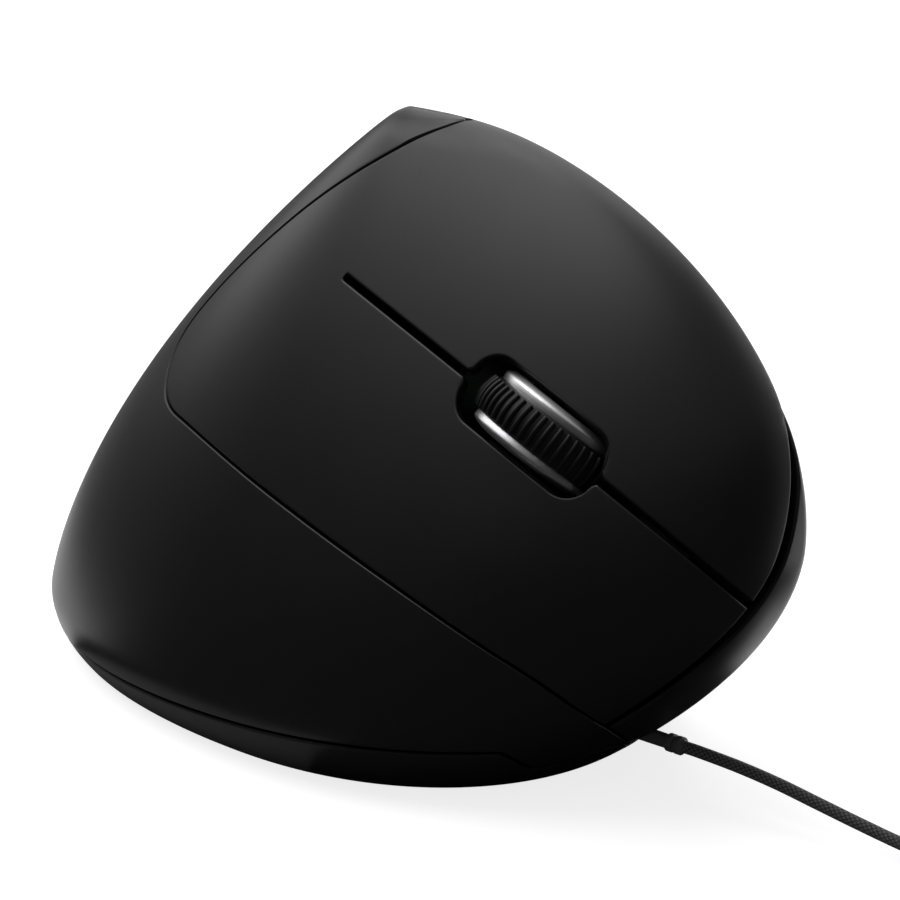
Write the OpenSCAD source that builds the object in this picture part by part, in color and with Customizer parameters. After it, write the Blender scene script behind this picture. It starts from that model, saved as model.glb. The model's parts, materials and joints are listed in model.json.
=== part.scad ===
// Vertical ergonomic mouse for the right hand: a fin-shaped body with two finger buttons,
// a scroll wheel, two thumb buttons, its boards and switches, and a USB cord put away in a coil.
// +Y points forward, +X to the finger side, +Z up, with the origin under the middle of the body.

/* [Body] */
// Length of the body from tail to nose
body_length = 119.5; // [116:0.5:126]
// Width of the body from thumb flare to finger side
body_width = 66.4; // [64:0.2:72]
// Height of the crest above the desk
body_height = 77; // [75:0.5:82]
// Thickness of the moulded shells
wall = 1.8; // [1.4:0.1:2.2]
// Height at which the nose reaches furthest forward
nose_height = 33.5; // [31:0.5:36]
// How far the nose is undercut at the desk
nose_tuck = 26.8; // [24:0.2:28]
// Height at which the tail reaches furthest back
tail_height = 8; // [6:0.5:10]
// Height of the shell seam above the desk, at mid length
seam_height = 6.4; // [5.8:0.2:7]
// Rise of the shell seam towards the nose, for each mm of length
seam_rise = 0.06; // [0.05:0.01:0.07]

/* [Seams] */
// Seam between the shells
shell_gap = 0.3; // [0.2:0.05:0.4]
// Open gap round the front of the finger buttons
front_gap = 1.5; // [1.3:0.05:1.7]
// Slit between the two finger buttons
slit_width = 1; // [0.8:0.1:1.2]
// Gap round each thumb button
thumb_gap = 0.5; // [0.4:0.05:0.6]
// Distance of the lower button seam from the slit, at the wheel
lower_seam = 25.4; // [24.6:0.2:26.4]
// Distance of the flex line behind the wheel
flex_line = 36.5; // [34:0.5:38]

/* [Wheel] */
// Height of the wheel's middle on the finger face
wheel_height = 47.5; // [46:0.5:49]
// Radius of the tyre
wheel_radius = 11.5; // [11:0.1:12]
// How far the tyre stands out of the finger face
wheel_proud = 3.3; // [2.8:0.1:3.8]
// Width of the tyre
tyre_width = 4.8; // [4.4:0.2:5.2]
// Overall width across the two rims
rim_width = 8; // [7.6:0.1:8.4]
// Radius of the axle
axle_radius = 1.5; // [1.2:0.1:1.8]
// Running clearance of the axle in its bearings
axle_clearance = 0.05; // [0.03:0.01:0.08]
// Length of the slot round the wheel
slot_length = 22.4; // [22:0.2:23.4]
// Width of the slot round the wheel
slot_width = 9.6; // [9.4:0.1:10.2]
// Corner radius of the slot
slot_corner = 3.6; // [3:0.1:4.2]
// How far the wheel carriage sinks when pressed
wheel_travel = 0.6; // [0.4:0.05:0.7]

/* [Boards and switches] */
// Thickness of the circuit boards
board_thickness = 1.6; // [1.2:0.1:2]
// Depth of the button board under the finger face
board_depth = 12; // [11.6:0.1:12.6]
// Thickness of the frame plate
frame_thickness = 2; // [1.8:0.1:2.4]
// Height of the finger switches without their plungers
switch_height = 5; // [4.6:0.1:5.4]
// Radius of the switch plungers
plunger_radius = 1.1; // [0.9:0.1:1.3]
// Rest clearance between a plunger and what presses it
plunger_clearance = 0.16; // [0.12:0.02:0.24]
// Height of the small push switches without their plungers
tact_height = 3.4; // [3:0.1:3.6]
// Length of the main board
main_board_length = 44; // [42:0.5:46]
// Width of the main board
main_board_width = 22; // [21:0.5:23]
// Height of the main board above the base floor
standoff_height = 3.6; // [3.4:0.1:4.2]

/* [Base and feet] */
// Thickness of the glide feet
foot_thickness = 0.6; // [0.4:0.05:0.8]
// Thickness of the base floor
floor_thickness = 2; // [1.6:0.1:2.4]
// Radius of the frame posts
post_radius = 2.4; // [2.2:0.1:2.6]
// Radius of the case screws
screw_radius = 1.1; // [1:0.05:1.2]
// Radial clearance of a screw in the hole that it only passes through
screw_clearance = 0.2; // [0.15:0.05:0.3]

/* [Cord] */
// Diameter of the cord
cord_diameter = 1.6; // [1.5:0.05:1.7]
// Loops in the coil
coil_loops = 24; // [12:4:24]
// Gap between neighbouring turns of the coil
coil_gap = 0.45; // [0.42:0.01:0.6]
// Layers in the coil
coil_layers = 4; // [2:2:4]
// Width of the metal shell of the plug
plug_width = 12; // [11.8:0.1:12.2]
// Height of the metal shell of the plug
plug_height = 4.5; // [4.4:0.1:4.6]

/* [Hidden] */
$fn = 64;

// The body is a stack of horizontal slices. Each slice has a reach to the front, rear, right and left.
half_length = body_length / 2;
half_width = body_width / 2;
crest_front = -1.4;
crest_rear = -9.7;
crest_right = -7.1;
crest_left = -13.1;
crest_round = 1.2;
crest_roll = (crest_right - crest_left) / 2;
ridge_half = 0.1;
finger_low = 8;
thumb_low = 6;
tail_tuck = 4.4;
finger_tuck = 4;
thumb_tuck = 3;
middle_x = [-0.2, -10.4];
middle_y = [-3.3, -5];
middle_bow = 16;
finger_power = 2.18;
heel_power = 2.05;
thumb_power = [1.72, 2];
palm_power = 2.1;

function mix(a, b, s) = a + (b - a) * s;
function clamp(v, low, high) = min(max(v, low), high);
function upper(z, low, wide, crest, a, b) =
  crest + (wide - crest) * pow(1 - pow(clamp((z - low) / (body_height - low), 0, 1), a), b);
function lower(z, low, wide, tuck, p) =
  wide - sign(wide) * tuck * pow(clamp((low - z) / low, 0, 1), p);
function reach(z, low, wide, crest, a, b, tuck, p) =
  z >= low ? upper(z, low, wide, crest, a, b) : lower(z, low, wide, tuck, p);
function rounding(z, radius) =
  let (d = clamp(z - body_height + radius, 0, radius))
  radius - sqrt(max(0, radius * radius - d * d));
function front_reach(z) = reach(z, nose_height, half_length, crest_front, 1.97, 0.57, nose_tuck, 1.75);
function rear_reach(z) = reach(z, tail_height, -half_length, crest_rear, 1.62, 0.97, tail_tuck, 2);
function right_reach(z) = reach(z, finger_low, half_width, crest_right, 1.24, 0.88, finger_tuck, 2);
function left_reach(z) = reach(z, thumb_low, -half_width, crest_left, 0.6, 1.667, thumb_tuck, 2);

// A point of the skin at turn t (0 right, 90 front, 180 left, 270 rear) and height z.
// The inner skin lies inset further in, and a little lower the nearer it is to the crest.
function skin(t, z, inset = 0) =
  let (
    trim = inset + rounding(z, crest_round),
    roll = inset + rounding(z, crest_roll),
    f = front_reach(z) - trim,
    r = rear_reach(z) + trim,
    ridge = (right_reach(z) + left_reach(z)) / 2,
    x = max(right_reach(z) - roll, ridge + ridge_half),
    l = min(left_reach(z) + roll, ridge - ridge_half),
    h = z / body_height,
    cx = clamp(mix(middle_x[0], middle_x[1], h), l + ridge_half, x - ridge_half),
    cy = clamp(mix(middle_y[0], middle_y[1], h) + middle_bow * h * (1 - h), r + ridge_half, f - ridge_half),
    c = cos(t),
    s = sin(t),
    right = c >= 0,
    front = s >= 0,
    thumb_n = mix(thumb_power[0], thumb_power[1], h),
    n = right ? (front ? finger_power : heel_power) : (front ? thumb_n : palm_power),
    wide = right ? x - cx : cx - l,
    long = front ? f - cy : cy - r
  )
  [
    cx + wide * sign(c) * pow(abs(c), 2 / n),
    cy + long * sign(s) * pow(abs(s), 2 / n),
    z * (body_height - inset) / body_height
  ];

// A frame on the skin: x across, y along it with a given dip, z out of the body.
function unit(v) = v / norm(v);
function skin_normal(t, z) =
  unit(cross(skin(t + 0.2, z) - skin(t - 0.2, z), skin(t, z + 0.1) - skin(t, z - 0.1)));
function frame_along(n, way) = unit(way - n * (way * n));
function skin_frame(t, z, way) =
  let (n = skin_normal(t, z), d = frame_along(n, way))
  [skin(t, z), cross(d, n), d, n];
function inside_frame(frame, p) = [for (k = [1:3]) (p - frame[0]) * frame[k]];
function out_of_frame(frame, p) = frame[0] + frame[1] * p[0] + frame[2] * p[1] + frame[3] * p[2];

module place(frame) {
  multmatrix([for (k = [0:2]) [frame[1][k], frame[2][k], frame[3][k], frame[0][k]]]) children();
}

// The finger face has its frame at the wheel, and the thumb side between its two buttons.
wheel_turn = 31.5;
slit_dip = 23;
finger = skin_frame(wheel_turn, wheel_height, [0, cos(slit_dip), -sin(slit_dip)]);
thumb_turn = 181;
thumb_height = 44;
thumb = skin_frame(thumb_turn, thumb_height, [0, 1, 0]);

// Heights and turns where a seam crosses the skin, found by halving.
search_steps = 26;
function halve_z(t, low, high, test, n = search_steps) =
  n == 0 ? (low + high) / 2
  : let (m = (low + high) / 2)
    test(t, m) > 0 ? halve_z(t, m, high, test, n - 1) : halve_z(t, low, m, test, n - 1);
function halve_t(z, low, high, test, n = search_steps) =
  n == 0 ? (low + high) / 2
  : let (m = (low + high) / 2)
    test(m, z) > 0 ? halve_t(z, m, high, test, n - 1) : halve_t(z, low, m, test, n - 1);

// The slit lies in the wheel's plane, and the lower seam runs beside it with a slight fan.
lower_fan = 0.065;
slit_tip = 0.07;
function across(t, z) = let (p = inside_frame(finger, skin(t, z))) p[0] + slit_tip * p[2];
function along(t, z) = inside_frame(finger, skin(t, z))[1];
function slit_z(t, side) = halve_z(t, 15, body_height - 2, function(a, b) across(a, b) - side * slit_width / 2);
function lower_z(t, offset) =
  halve_z(t, 5, 60, function(a, b)
    let (p = inside_frame(finger, skin(a, b))) p[0] + lower_fan * p[1] - lower_seam - offset);

// The front gap is a plane cut a fixed depth under the finger face, tipped a little.
cut_depth = 13.1;
cut_tip = 0.115;
function front_t(z, offset) =
  halve_t(z, 45, 200, function(a, b)
    let (p = inside_frame(finger, skin(a, b))) p[2] + cut_tip * p[0] + cut_depth - offset);

// The rear seam follows the trailing edge, bends in over the shoulder and sweeps along the crest.
rear_turn = -55;
rear_bow_height = 48;
rear_bow = [0.16, 0.05];
shoulder_height = body_height - 10;
shoulder_bow = 0.42;
rear_top = body_height - 2;
crest_sweep = 1.1;
crest_turn = 128;
function rear_t(z) =
  let (
    d = z - rear_bow_height,
    e = max(z - shoulder_height, 0),
    t = rear_turn + (d < 0 ? rear_bow[0] : rear_bow[1]) * d * d + shoulder_bow * e * e,
    s = clamp((z - body_height + crest_sweep) / crest_sweep, 0, 1)
  )
  t + (crest_turn - t) * pow(s, 1.5);
function flex_t(z, offset) =
  halve_t(z, -90, 120, function(a, b) offset - flex_line - along(a, b));

// The base meets the shells along a sloping seam that drops at the nose.
drop_turn = [50, 64, 116, 130];
drop_height = 3.4;
function seam_z(t) =
  let (
    plain = seam_height + seam_rise * skin(t, seam_height)[1],
    s = clamp((t - drop_turn[0]) / (drop_turn[1] - drop_turn[0]), 0, 1)
      * clamp((drop_turn[3] - t) / (drop_turn[3] - drop_turn[2]), 0, 1)
  )
  mix(plain, drop_height, s);

// A closed shell over a grid of [turn, height] cells, between two depths under the skin.
// A window leaves out the cells between its rows and columns.
function flat(rows) = [for (row = rows) for (p = row) p];
function quad(a, b, c, d) = [[a, b, c], [a, c, d]];
function open_cell(window, j, i) =
  len(window) == 4 && j >= window[0] && j < window[1] && i >= window[2] && i < window[3];
function edge_wall(a, b, count) = quad(a, a + count, b + count, b);
module shell(cells, outer, inner, windows = []) {
  rows = len(cells);
  cols = len(cells[0]);
  count = rows * cols;
  skins = concat(
    [for (c = flat(cells)) skin(c[0], c[1], outer)],
    [for (c = flat(cells)) skin(c[0], c[1], inner)]);
  covered = function(j, i) len([for (w = windows) if (open_cell(w, j, i)) 1]) == 0;
  faces = concat(
    [for (j = [0:rows - 2]) for (i = [0:cols - 2]) if (covered(j, i))
      each quad(j * cols + i, (j + 1) * cols + i, (j + 1) * cols + i + 1, j * cols + i + 1)],
    [for (j = [0:rows - 2]) for (i = [0:cols - 2]) if (covered(j, i))
      each quad(count + j * cols + i, count + j * cols + i + 1,
        count + (j + 1) * cols + i + 1, count + (j + 1) * cols + i)],
    [for (i = [0:cols - 2]) each edge_wall(i + 1, i, count)],
    [for (i = [0:cols - 2]) each edge_wall((rows - 1) * cols + i, (rows - 1) * cols + i + 1, count)],
    [for (j = [0:rows - 2]) each edge_wall(j * cols, (j + 1) * cols, count)],
    [for (j = [0:rows - 2]) each edge_wall((j + 2) * cols - 1, (j + 1) * cols - 1, count)],
    [for (w = windows) each concat(
      [for (i = [w[2]:w[3] - 1]) each edge_wall(w[0] * cols + i, w[0] * cols + i + 1, count)],
      [for (i = [w[2]:w[3] - 1]) each edge_wall(w[1] * cols + i + 1, w[1] * cols + i, count)],
      [for (j = [w[0]:w[1] - 1]) each edge_wall((j + 1) * cols + w[2], j * cols + w[2], count)],
      [for (j = [w[0]:w[1] - 1]) each edge_wall(j * cols + w[3], (j + 1) * cols + w[3], count)])]);
  polyhedron(skins, faces);
}

// A four-sided patch of [turn, height] cells blended from its four edge lists.
function patch(bottom, top, left, right) =
  let (n = len(bottom) - 1, m = len(left) - 1)
  [for (j = [0:m]) [for (i = [0:n])
    let (u = i / n, v = j / m)
    mix(bottom[i], top[i], v) + mix(left[j], right[j], u)
      - mix(mix(bottom[0], bottom[n], u), mix(top[0], top[n], u), v)]];
function resample(points, n) =
  [for (k = [0:n]) let (s = k * (len(points) - 1) / n, i = min(floor(s), len(points) - 2))
    mix(points[i], points[i + 1], s - i)];
function steps(a, b, n) = [for (k = [0:n]) mix(a, b, k / n)];

// Where the seams meet each other.
function meet_t(low, high, path, test) = halve_t(0, low, high, function(a, b) test(a, path(a)));
function in_front_cut(t, z, offset) =
  let (p = inside_frame(finger, skin(t, z))) p[2] + cut_tip * p[0] + cut_depth - offset;
function slit_front(side) =
  meet_t(50, 100, function(a) slit_z(a, side), function(a, b) in_front_cut(a, b, front_gap / 2));
function slit_flex(side) =
  meet_t(-60, 40, function(a) slit_z(a, side), function(a, b) shell_gap / 2 - flex_line - along(a, b));
function lower_front(offset, cut) =
  meet_t(40, 95, function(a) lower_z(a, offset), function(a, b) in_front_cut(a, b, cut));
function lower_flex(offset, gap) =
  meet_t(-60, 40, function(a) lower_z(a, offset), function(a, b) gap - flex_line - along(a, b));
function lower_rear(offset) =
  meet_t(-70, -15, function(a) lower_z(a, offset), function(a, b) rear_t(b) - a);
function rear_z(t) = halve_z(t, rear_bow_height, body_height, function(a, b) a - rear_t(b));

// The wheel slot, a rounded rectangle, bites half into each finger button.
function chart(x, y, inset = 0, t = wheel_turn, z = wheel_height, n = 7) =
  n == 0 ? [t, z]
  : let (
      p = inside_frame(finger, skin(t, z, inset)),
      a = (inside_frame(finger, skin(t + 0.1, z, inset)) - p) / 0.1,
      b = (inside_frame(finger, skin(t, z + 0.1, inset)) - p) / 0.1,
      det = a[0] * b[1] - a[1] * b[0],
      ex = x - p[0],
      ey = y - p[1]
    )
    chart(x, y, inset, t + (ex * b[1] - ey * b[0]) / det, z + (a[0] * ey - a[1] * ex) / det, n - 1);
slot_arc = 4;
function slot_bite(side) =
  let (
    w = slot_width / 2 - slot_corner,
    l = slot_length / 2 - slot_corner,
    half = concat(
      [[slit_width / 2, -slot_length / 2]],
      [for (k = [0:slot_arc]) let (a = 90 * k / slot_arc)
        [w + slot_corner * sin(a), -l - slot_corner * cos(a)]],
      [[slot_width / 2, -l / 2], [slot_width / 2, 0]])
  )
  concat(
    [for (p = half) chart(side * p[0], p[1])],
    [for (k = [len(half) - 2:-1:0]) chart(side * half[k][0], -half[k][1])]);

// The edge of a finger button along the slit and the slot, from the flex line to the front gap.
slit_cells = 7;
function slit_edge(side) =
  let (
    bite = slot_bite(side),
    rear = steps(slit_flex(side), bite[0][0], slit_cells),
    front = steps(bite[len(bite) - 1][0], slit_front(side), slit_cells)
  )
  concat(
    [for (k = [0:slit_cells - 1]) [rear[k], slit_z(rear[k], side)]],
    bite,
    [for (k = [1:slit_cells]) [front[k], slit_z(front[k], side)]]);

// Casing
part_turn = -100;
outlet_turn = 90;
outlet_half = [3.2, 6];
low_rows = 4;
finger_columns = 15;
function lower_corner() = lower_front(shell_gap / 2, front_gap / 2);
function finger_cells() =
  let (
    corner = lower_corner(),
    corner_z = lower_z(corner, shell_gap / 2),
    rear = lower_rear(shell_gap / 2) - shell_gap,
    outlet = outlet_turn - outlet_half[0],
    low_end = [outlet, outlet, mix(outlet_turn, corner, 0.5), corner],
    lower_turns = steps(corner, rear, 9),
    rear_low = lower_z(rear, shell_gap / 2),
    rises = concat(steps(rear_low + 1.2, rear_top, 10), steps(rear_top + 0.5, body_height, 3)),
    ends = concat(
      [for (k = [1:9]) [lower_turns[k], lower_z(lower_turns[k], shell_gap / 2)]],
      [for (z = rises) [rear_t(z) - shell_gap, z]])
  )
  concat(
    [for (k = [0:low_rows - 1]) [for (t = steps(part_turn, low_end[k], finger_columns))
      [t, mix(seam_z(t) + shell_gap / 2, corner_z, k / (low_rows - 1))]]],
    [for (e = ends) [for (t = steps(part_turn, e[0], finger_columns)) [t, e[1]]]]);

module finger_shell() {
  color([0.09, 0.09, 0.095]) shell(finger_cells(), 0, wall);
}

forward_turns = [164, 179];
back_turns = [182, 203];
thumb_rows = [40, 48];
thumb_start = 154;
thumb_rear = 212;
thumb_proud = 0.8;
thumb_drop = 0.35;
crest_gap = 0.5;
thumb_front_columns = 6;
function thumb_turns(first) = concat(
  steps(first, thumb_start, thumb_front_columns),
  steps(forward_turns[0], forward_turns[1], 3),
  steps(back_turns[0], back_turns[1], 4),
  steps(thumb_rear, 360 + part_turn - shell_gap, 4));
function thumb_cells() =
  let (
    corner = lower_front(shell_gap / 2, -front_gap / 2),
    corner_z = lower_z(corner, shell_gap / 2),
    outlet = outlet_turn + outlet_half[1],
    low_start = [outlet, outlet, mix(outlet_turn, corner, 0.45), corner],
    rises = concat(
      steps(corner_z + 4, thumb_rows[0], 5),
      [(thumb_rows[0] + thumb_rows[1]) / 2, thumb_rows[1]],
      steps(thumb_rows[1] + 4, rear_top, 5),
      steps(rear_top + 0.5, body_height, 3))
  )
  concat(
    [for (k = [0:low_rows - 1]) [for (t = thumb_turns(low_start[k]))
      [t, mix(seam_z(t) + shell_gap / 2, corner_z, k / (low_rows - 1))]]],
    [for (z = rises) [for (t = thumb_turns(front_t(min(z, rear_top + 0.5), -front_gap / 2))) [t, z]]]);
thumb_window_row = low_rows + 5;
thumb_window_column = thumb_front_columns + 1;

module thumb_shell() {
  color([0.09, 0.09, 0.095])
    shell(thumb_cells(), 0, wall, [
      [thumb_window_row, thumb_window_row + 2, thumb_window_column, thumb_window_column + 3],
      [thumb_window_row, thumb_window_row + 2, thumb_window_column + 4, thumb_window_column + 8]]);
}

module button_panel() {
  offset = -shell_gap / 2;
  first = lower_rear(offset) + shell_gap;
  last = lower_flex(offset, -shell_gap / 2);
  top_z = rear_top + 0.7;
  bottom = [for (t = steps(first, last, 8)) [t, lower_z(t, offset)]];
  left = [for (z = concat(steps(bottom[0][1], rear_top, 9), [top_z])) [rear_t(z) + shell_gap, z]];
  right = [for (z = concat(steps(bottom[8][1], rear_top, 9), [top_z]))
    [max(flex_t(z, -shell_gap / 2), rear_t(z) + 2 * shell_gap), z]];
  top = resample([left[10], right[10]], 8);
  color([0.1, 0.1, 0.105]) shell(patch(bottom, top, left, right), 0, wall);
}

button_rows = 8;
module index_button() {
  bottom = slit_edge(-1);
  n = len(bottom) - 1;
  flank = 46;
  top_z = rear_top + 0.7;
  start = flex_t(top_z, shell_gap / 2);
  crest = front_t(rear_top + 0.5, front_gap / 2);
  left = [for (z = steps(bottom[0][1], top_z, button_rows)) [flex_t(z, shell_gap / 2), z]];
  right = [for (z = steps(bottom[n][1], flank, button_rows)) [front_t(z, front_gap / 2), z]];
  ridge = concat(
    [left[button_rows]],
    [for (t = steps(mix(start, crest, 0.3), crest, 3)) [t, rear_z(t) - crest_gap]],
    [for (z = steps(rear_top, flank, 15)) [front_t(z, front_gap / 2), z]]);
  color([0.1, 0.1, 0.105]) shell(patch(bottom, resample(ridge, n), left, right), 0, wall);
}

module middle_button() {
  offset = -shell_gap / 2;
  top = slit_edge(1);
  n = len(top) - 1;
  first = lower_flex(offset, shell_gap / 2);
  last = lower_front(offset, front_gap / 2);
  bottom = [for (t = steps(first, last, n)) [t, lower_z(t, offset)]];
  left = [for (z = steps(bottom[0][1], top[0][1], button_rows)) [flex_t(z, shell_gap / 2), z]];
  right = [for (z = steps(bottom[n][1], top[n][1], button_rows)) [front_t(z, front_gap / 2), z]];
  color([0.1, 0.1, 0.105]) shell(patch(bottom, top, left, right), 0, wall);
}

module thumb_button(turns, columns) {
  gap = thumb_gap * 1.25;
  cells = [for (z = steps(thumb_rows[0] + thumb_gap, thumb_rows[1] - thumb_gap - thumb_drop, 4))
    [for (t = steps(turns[0] + gap, turns[1] - gap, columns)) [t, z]]];
  color([0.12, 0.12, 0.125]) shell(cells, -thumb_proud, wall);
}
module forward_button() { thumb_button(forward_turns, 4); }
module back_button() { thumb_button(back_turns, 5); }

// Base, with a lip that the shells clip over
floor_top = foot_thickness + floor_thickness;
lip_height = 2;
lip_thickness = 0.9;
lip_clearance = 0.5;
lip_stop = [76, 104];
base_step = 5;
function base_top(t) = seam_z(t) - shell_gap / 2;
function lip_top(t) = base_top(t) + (t > lip_stop[0] && t < lip_stop[1] ? 0 : lip_height);
function level(p, z) = [p[0], p[1], z];
function base_rings() =
  let (turns = [0:base_step:360 - base_step], in = wall + lip_clearance, deep = in + lip_thickness)
  [
    [for (t = turns) level(skin(t, foot_thickness), foot_thickness)],
    [for (t = turns) skin(t, mix(foot_thickness, base_top(t), 0.5))],
    [for (t = turns) skin(t, base_top(t))],
    [for (t = turns) level(skin(t, base_top(t), in), base_top(t))],
    [for (t = turns) level(skin(t, lip_top(t) + 0.01, in), lip_top(t) + 0.01)],
    [for (t = turns) level(skin(t, lip_top(t) + 0.01, deep), lip_top(t) + 0.01)],
    [for (t = turns) level(skin(t, floor_top, deep), floor_top)]
  ];
module turned_solid(rings) {
  n = len(rings[0]);
  m = len(rings);
  low = m * n;
  points = concat(flat(rings), [[0, 0, rings[0][0][2]], [0, 0, rings[m - 1][0][2]]]);
  faces = concat(
    [for (j = [0:m - 2]) for (i = [0:n - 1]) let (k = (i + 1) % n)
      each quad(j * n + i, (j + 1) * n + i, (j + 1) * n + k, j * n + k)],
    [for (i = [0:n - 1]) [low, i, (i + 1) % n]],
    [for (i = [0:n - 1]) [low + 1, (m - 1) * n + (i + 1) % n, (m - 1) * n + i]]);
  polyhedron(points, faces);
}

posts = [[8, 8], [9, 28], [-8, 16]];
head_radius = 2;
head_height = 1;
head_clearance = 0.25;
case_screw_length = 9;
thread_clearance = 0.02;
sensor = [-8, -12];
window = [7, 9];
board_corner = [-20, -34];
board_holes = [[-17, -30], [-1, -30], [-17, 6]];
standoff_radius = 2.2;
board_screw_length = 4;
module base_shell() {
  color([0.1, 0.1, 0.105]) {
    difference() {
      union() {
        turned_solid(base_rings());
        for (h = board_holes) {
          translate([h[0], h[1], floor_top]) cylinder(r = standoff_radius, h = standoff_height);
        }
      }
      for (p = posts) {
        translate([p[0], p[1], 0]) cylinder(r = screw_radius + screw_clearance, h = floor_top + 1);
        translate([p[0], p[1], 0])
          cylinder(r = head_radius + head_clearance, h = foot_thickness + head_height);
      }
      translate([sensor[0] - window[0] / 2, sensor[1] - window[1] / 2, 0])
        cube([window[0], window[1], floor_top + 1]);
      for (h = board_holes) {
        translate([h[0], h[1], floor_top])
          cylinder(r = screw_radius + thread_clearance, h = standoff_height + 1);
      }
    }
  }
}

// Glide feet, each a stadium of slippery plastic under the base
foot_width = 5;
feet = [[-3, 27, 10, 0], [0, -50, 18, 0], [-25, -8, 16, 90], [23, -8, 16, 90]];
module glide_feet() {
  color([0.16, 0.16, 0.17]) {
    for (f = feet) {
      translate([f[0], f[1], 0]) rotate([0, 0, f[3]]) {
        translate([-f[2] / 2, -foot_width / 2, 0]) cube([f[2], foot_width, foot_thickness]);
        for (e = [-1, 1]) {
          translate([e * f[2] / 2, 0, 0]) cylinder(d = foot_width, h = foot_thickness);
        }
      }
    }
  }
}

module screw(length, shank) {
  cylinder(r = head_radius, h = head_height);
  cylinder(r = shank, h = head_height + length);
}
module case_screws() {
  color([0.55, 0.55, 0.58]) {
    for (p = posts) {
      translate([p[0], p[1], foot_thickness]) screw(case_screw_length, screw_radius);
    }
  }
}

// Frame plate under the finger face, on three posts that the case screws hold
plate_top = board_depth + board_thickness;
plate_low = plate_top + frame_thickness;
plate = [[-12.5, -20], [21, 20]];
cradle_gap = 0.3;
arm_inner = rim_width / 2 + 0.8;
arm_outer = arm_inner + 1.4;
arm_half = 6;
encoder_width = 4.4;
encoder_reach = arm_outer + encoder_width;
wheel_hole = [5.6, 13.5];
frame_holes = [[17, -14], [-9, -14], [17.5, 5]];
frame_screw_length = board_thickness + frame_thickness + 1;
module local_box(low, high) {
  translate(low) cube(high - low);
}
module wheel_openings(low, high) {
  local_box([-wheel_hole[0], -wheel_hole[1], low], [wheel_hole[0], wheel_hole[1], high]);
  local_box(
    [-encoder_reach - cradle_gap, -arm_half - cradle_gap, low],
    [arm_outer + cradle_gap, arm_half + cradle_gap, high]);
}
module inner_frame() {
  color([0.2, 0.2, 0.21]) {
    difference() {
      union() {
        place(finger) {
          local_box([plate[0][0], plate[0][1], -plate_low], [plate[1][0], plate[1][1], -plate_top]);
        }
        difference() {
          for (p = posts) {
            translate([p[0], p[1], floor_top]) cylinder(r = post_radius, h = body_height);
          }
          place(finger) {
            local_box([-90, -90, -plate_top - frame_thickness / 2], [90, 90, 90]);
          }
        }
      }
      place(finger) {
        wheel_openings(-plate_low - 1, -plate_top + 1);
        for (h = frame_holes) {
          translate([h[0], h[1], -plate_low - 1])
            cylinder(r = screw_radius + thread_clearance, h = frame_thickness + 2);
        }
      }
      for (p = posts) {
        translate([p[0], p[1], floor_top - 1])
          cylinder(r = screw_radius + thread_clearance, h = case_screw_length + 2);
      }
    }
  }
}

// Button board on the frame plate
button_board_area = [[-12.5, -18], [20, 22]];
module button_board() {
  color([0.05, 0.25, 0.12]) {
    place(finger) {
      difference() {
        local_box(
          [button_board_area[0][0], button_board_area[0][1], -plate_top],
          [button_board_area[1][0], button_board_area[1][1], -board_depth]);
        wheel_openings(-plate_top - 1, 1 - board_depth);
        for (h = frame_holes) {
          translate([h[0], h[1], -plate_top - 1])
            cylinder(r = screw_radius + screw_clearance, h = board_thickness + 2);
        }
      }
    }
  }
}
module frame_screws() {
  color([0.55, 0.55, 0.58]) {
    place(finger) {
      for (h = frame_holes) {
        translate([h[0], h[1], head_height - board_depth]) rotate([180, 0, 0])
          screw(frame_screw_length, screw_radius);
      }
    }
  }
}

// Scroll wheel, turning on its axle in a carriage that sinks when it is pressed
axle_depth = wheel_radius - wheel_proud;
tyre_inner = 9;
rim_seat = 6.6;
rim_radius = 10.1;
rim_thickness = rim_width / 2 - tyre_width / 2;
seat_clearance = 0.03;
axle_reach = encoder_reach - 0.8;
module on_axle() {
  place(finger) translate([0, 0, -axle_depth]) rotate([0, 90, 0]) children();
}
module wheel_hub() {
  color([0.13, 0.13, 0.14]) {
    on_axle() {
      translate([0, 0, -tyre_width / 2]) cylinder(r = tyre_inner - seat_clearance, h = tyre_width);
      translate([0, 0, -rim_width / 2]) cylinder(r = rim_seat - seat_clearance, h = rim_width);
      translate([0, 0, -axle_reach]) cylinder(r = axle_radius, h = axle_reach + arm_outer);
    }
  }
}
tyre_shoulder = wheel_radius - 0.7;
module wheel_tyre() {
  color([0.06, 0.06, 0.06]) {
    on_axle() {
      rotate_extrude() polygon([
        [tyre_inner, -tyre_width / 2], [tyre_shoulder, -tyre_width / 2],
        [wheel_radius, -tyre_width / 4], [wheel_radius, tyre_width / 4],
        [tyre_shoulder, tyre_width / 2], [tyre_inner, tyre_width / 2]]);
    }
  }
}
module side_rim(side) {
  color([0.75, 0.75, 0.77]) {
    on_axle() mirror([0, 0, side < 0 ? 1 : 0]) translate([0, 0, tyre_width / 2]) {
      rotate_extrude() polygon([
        [rim_seat, 0], [rim_radius, 0], [rim_radius, rim_thickness * 0.35],
        [rim_radius - 0.6, rim_thickness * 0.75], [rim_radius - 1.8, rim_thickness],
        [rim_seat, rim_thickness]]);
    }
  }
}
module upper_rim() { side_rim(-1); }
module lower_rim() { side_rim(1); }

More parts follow.
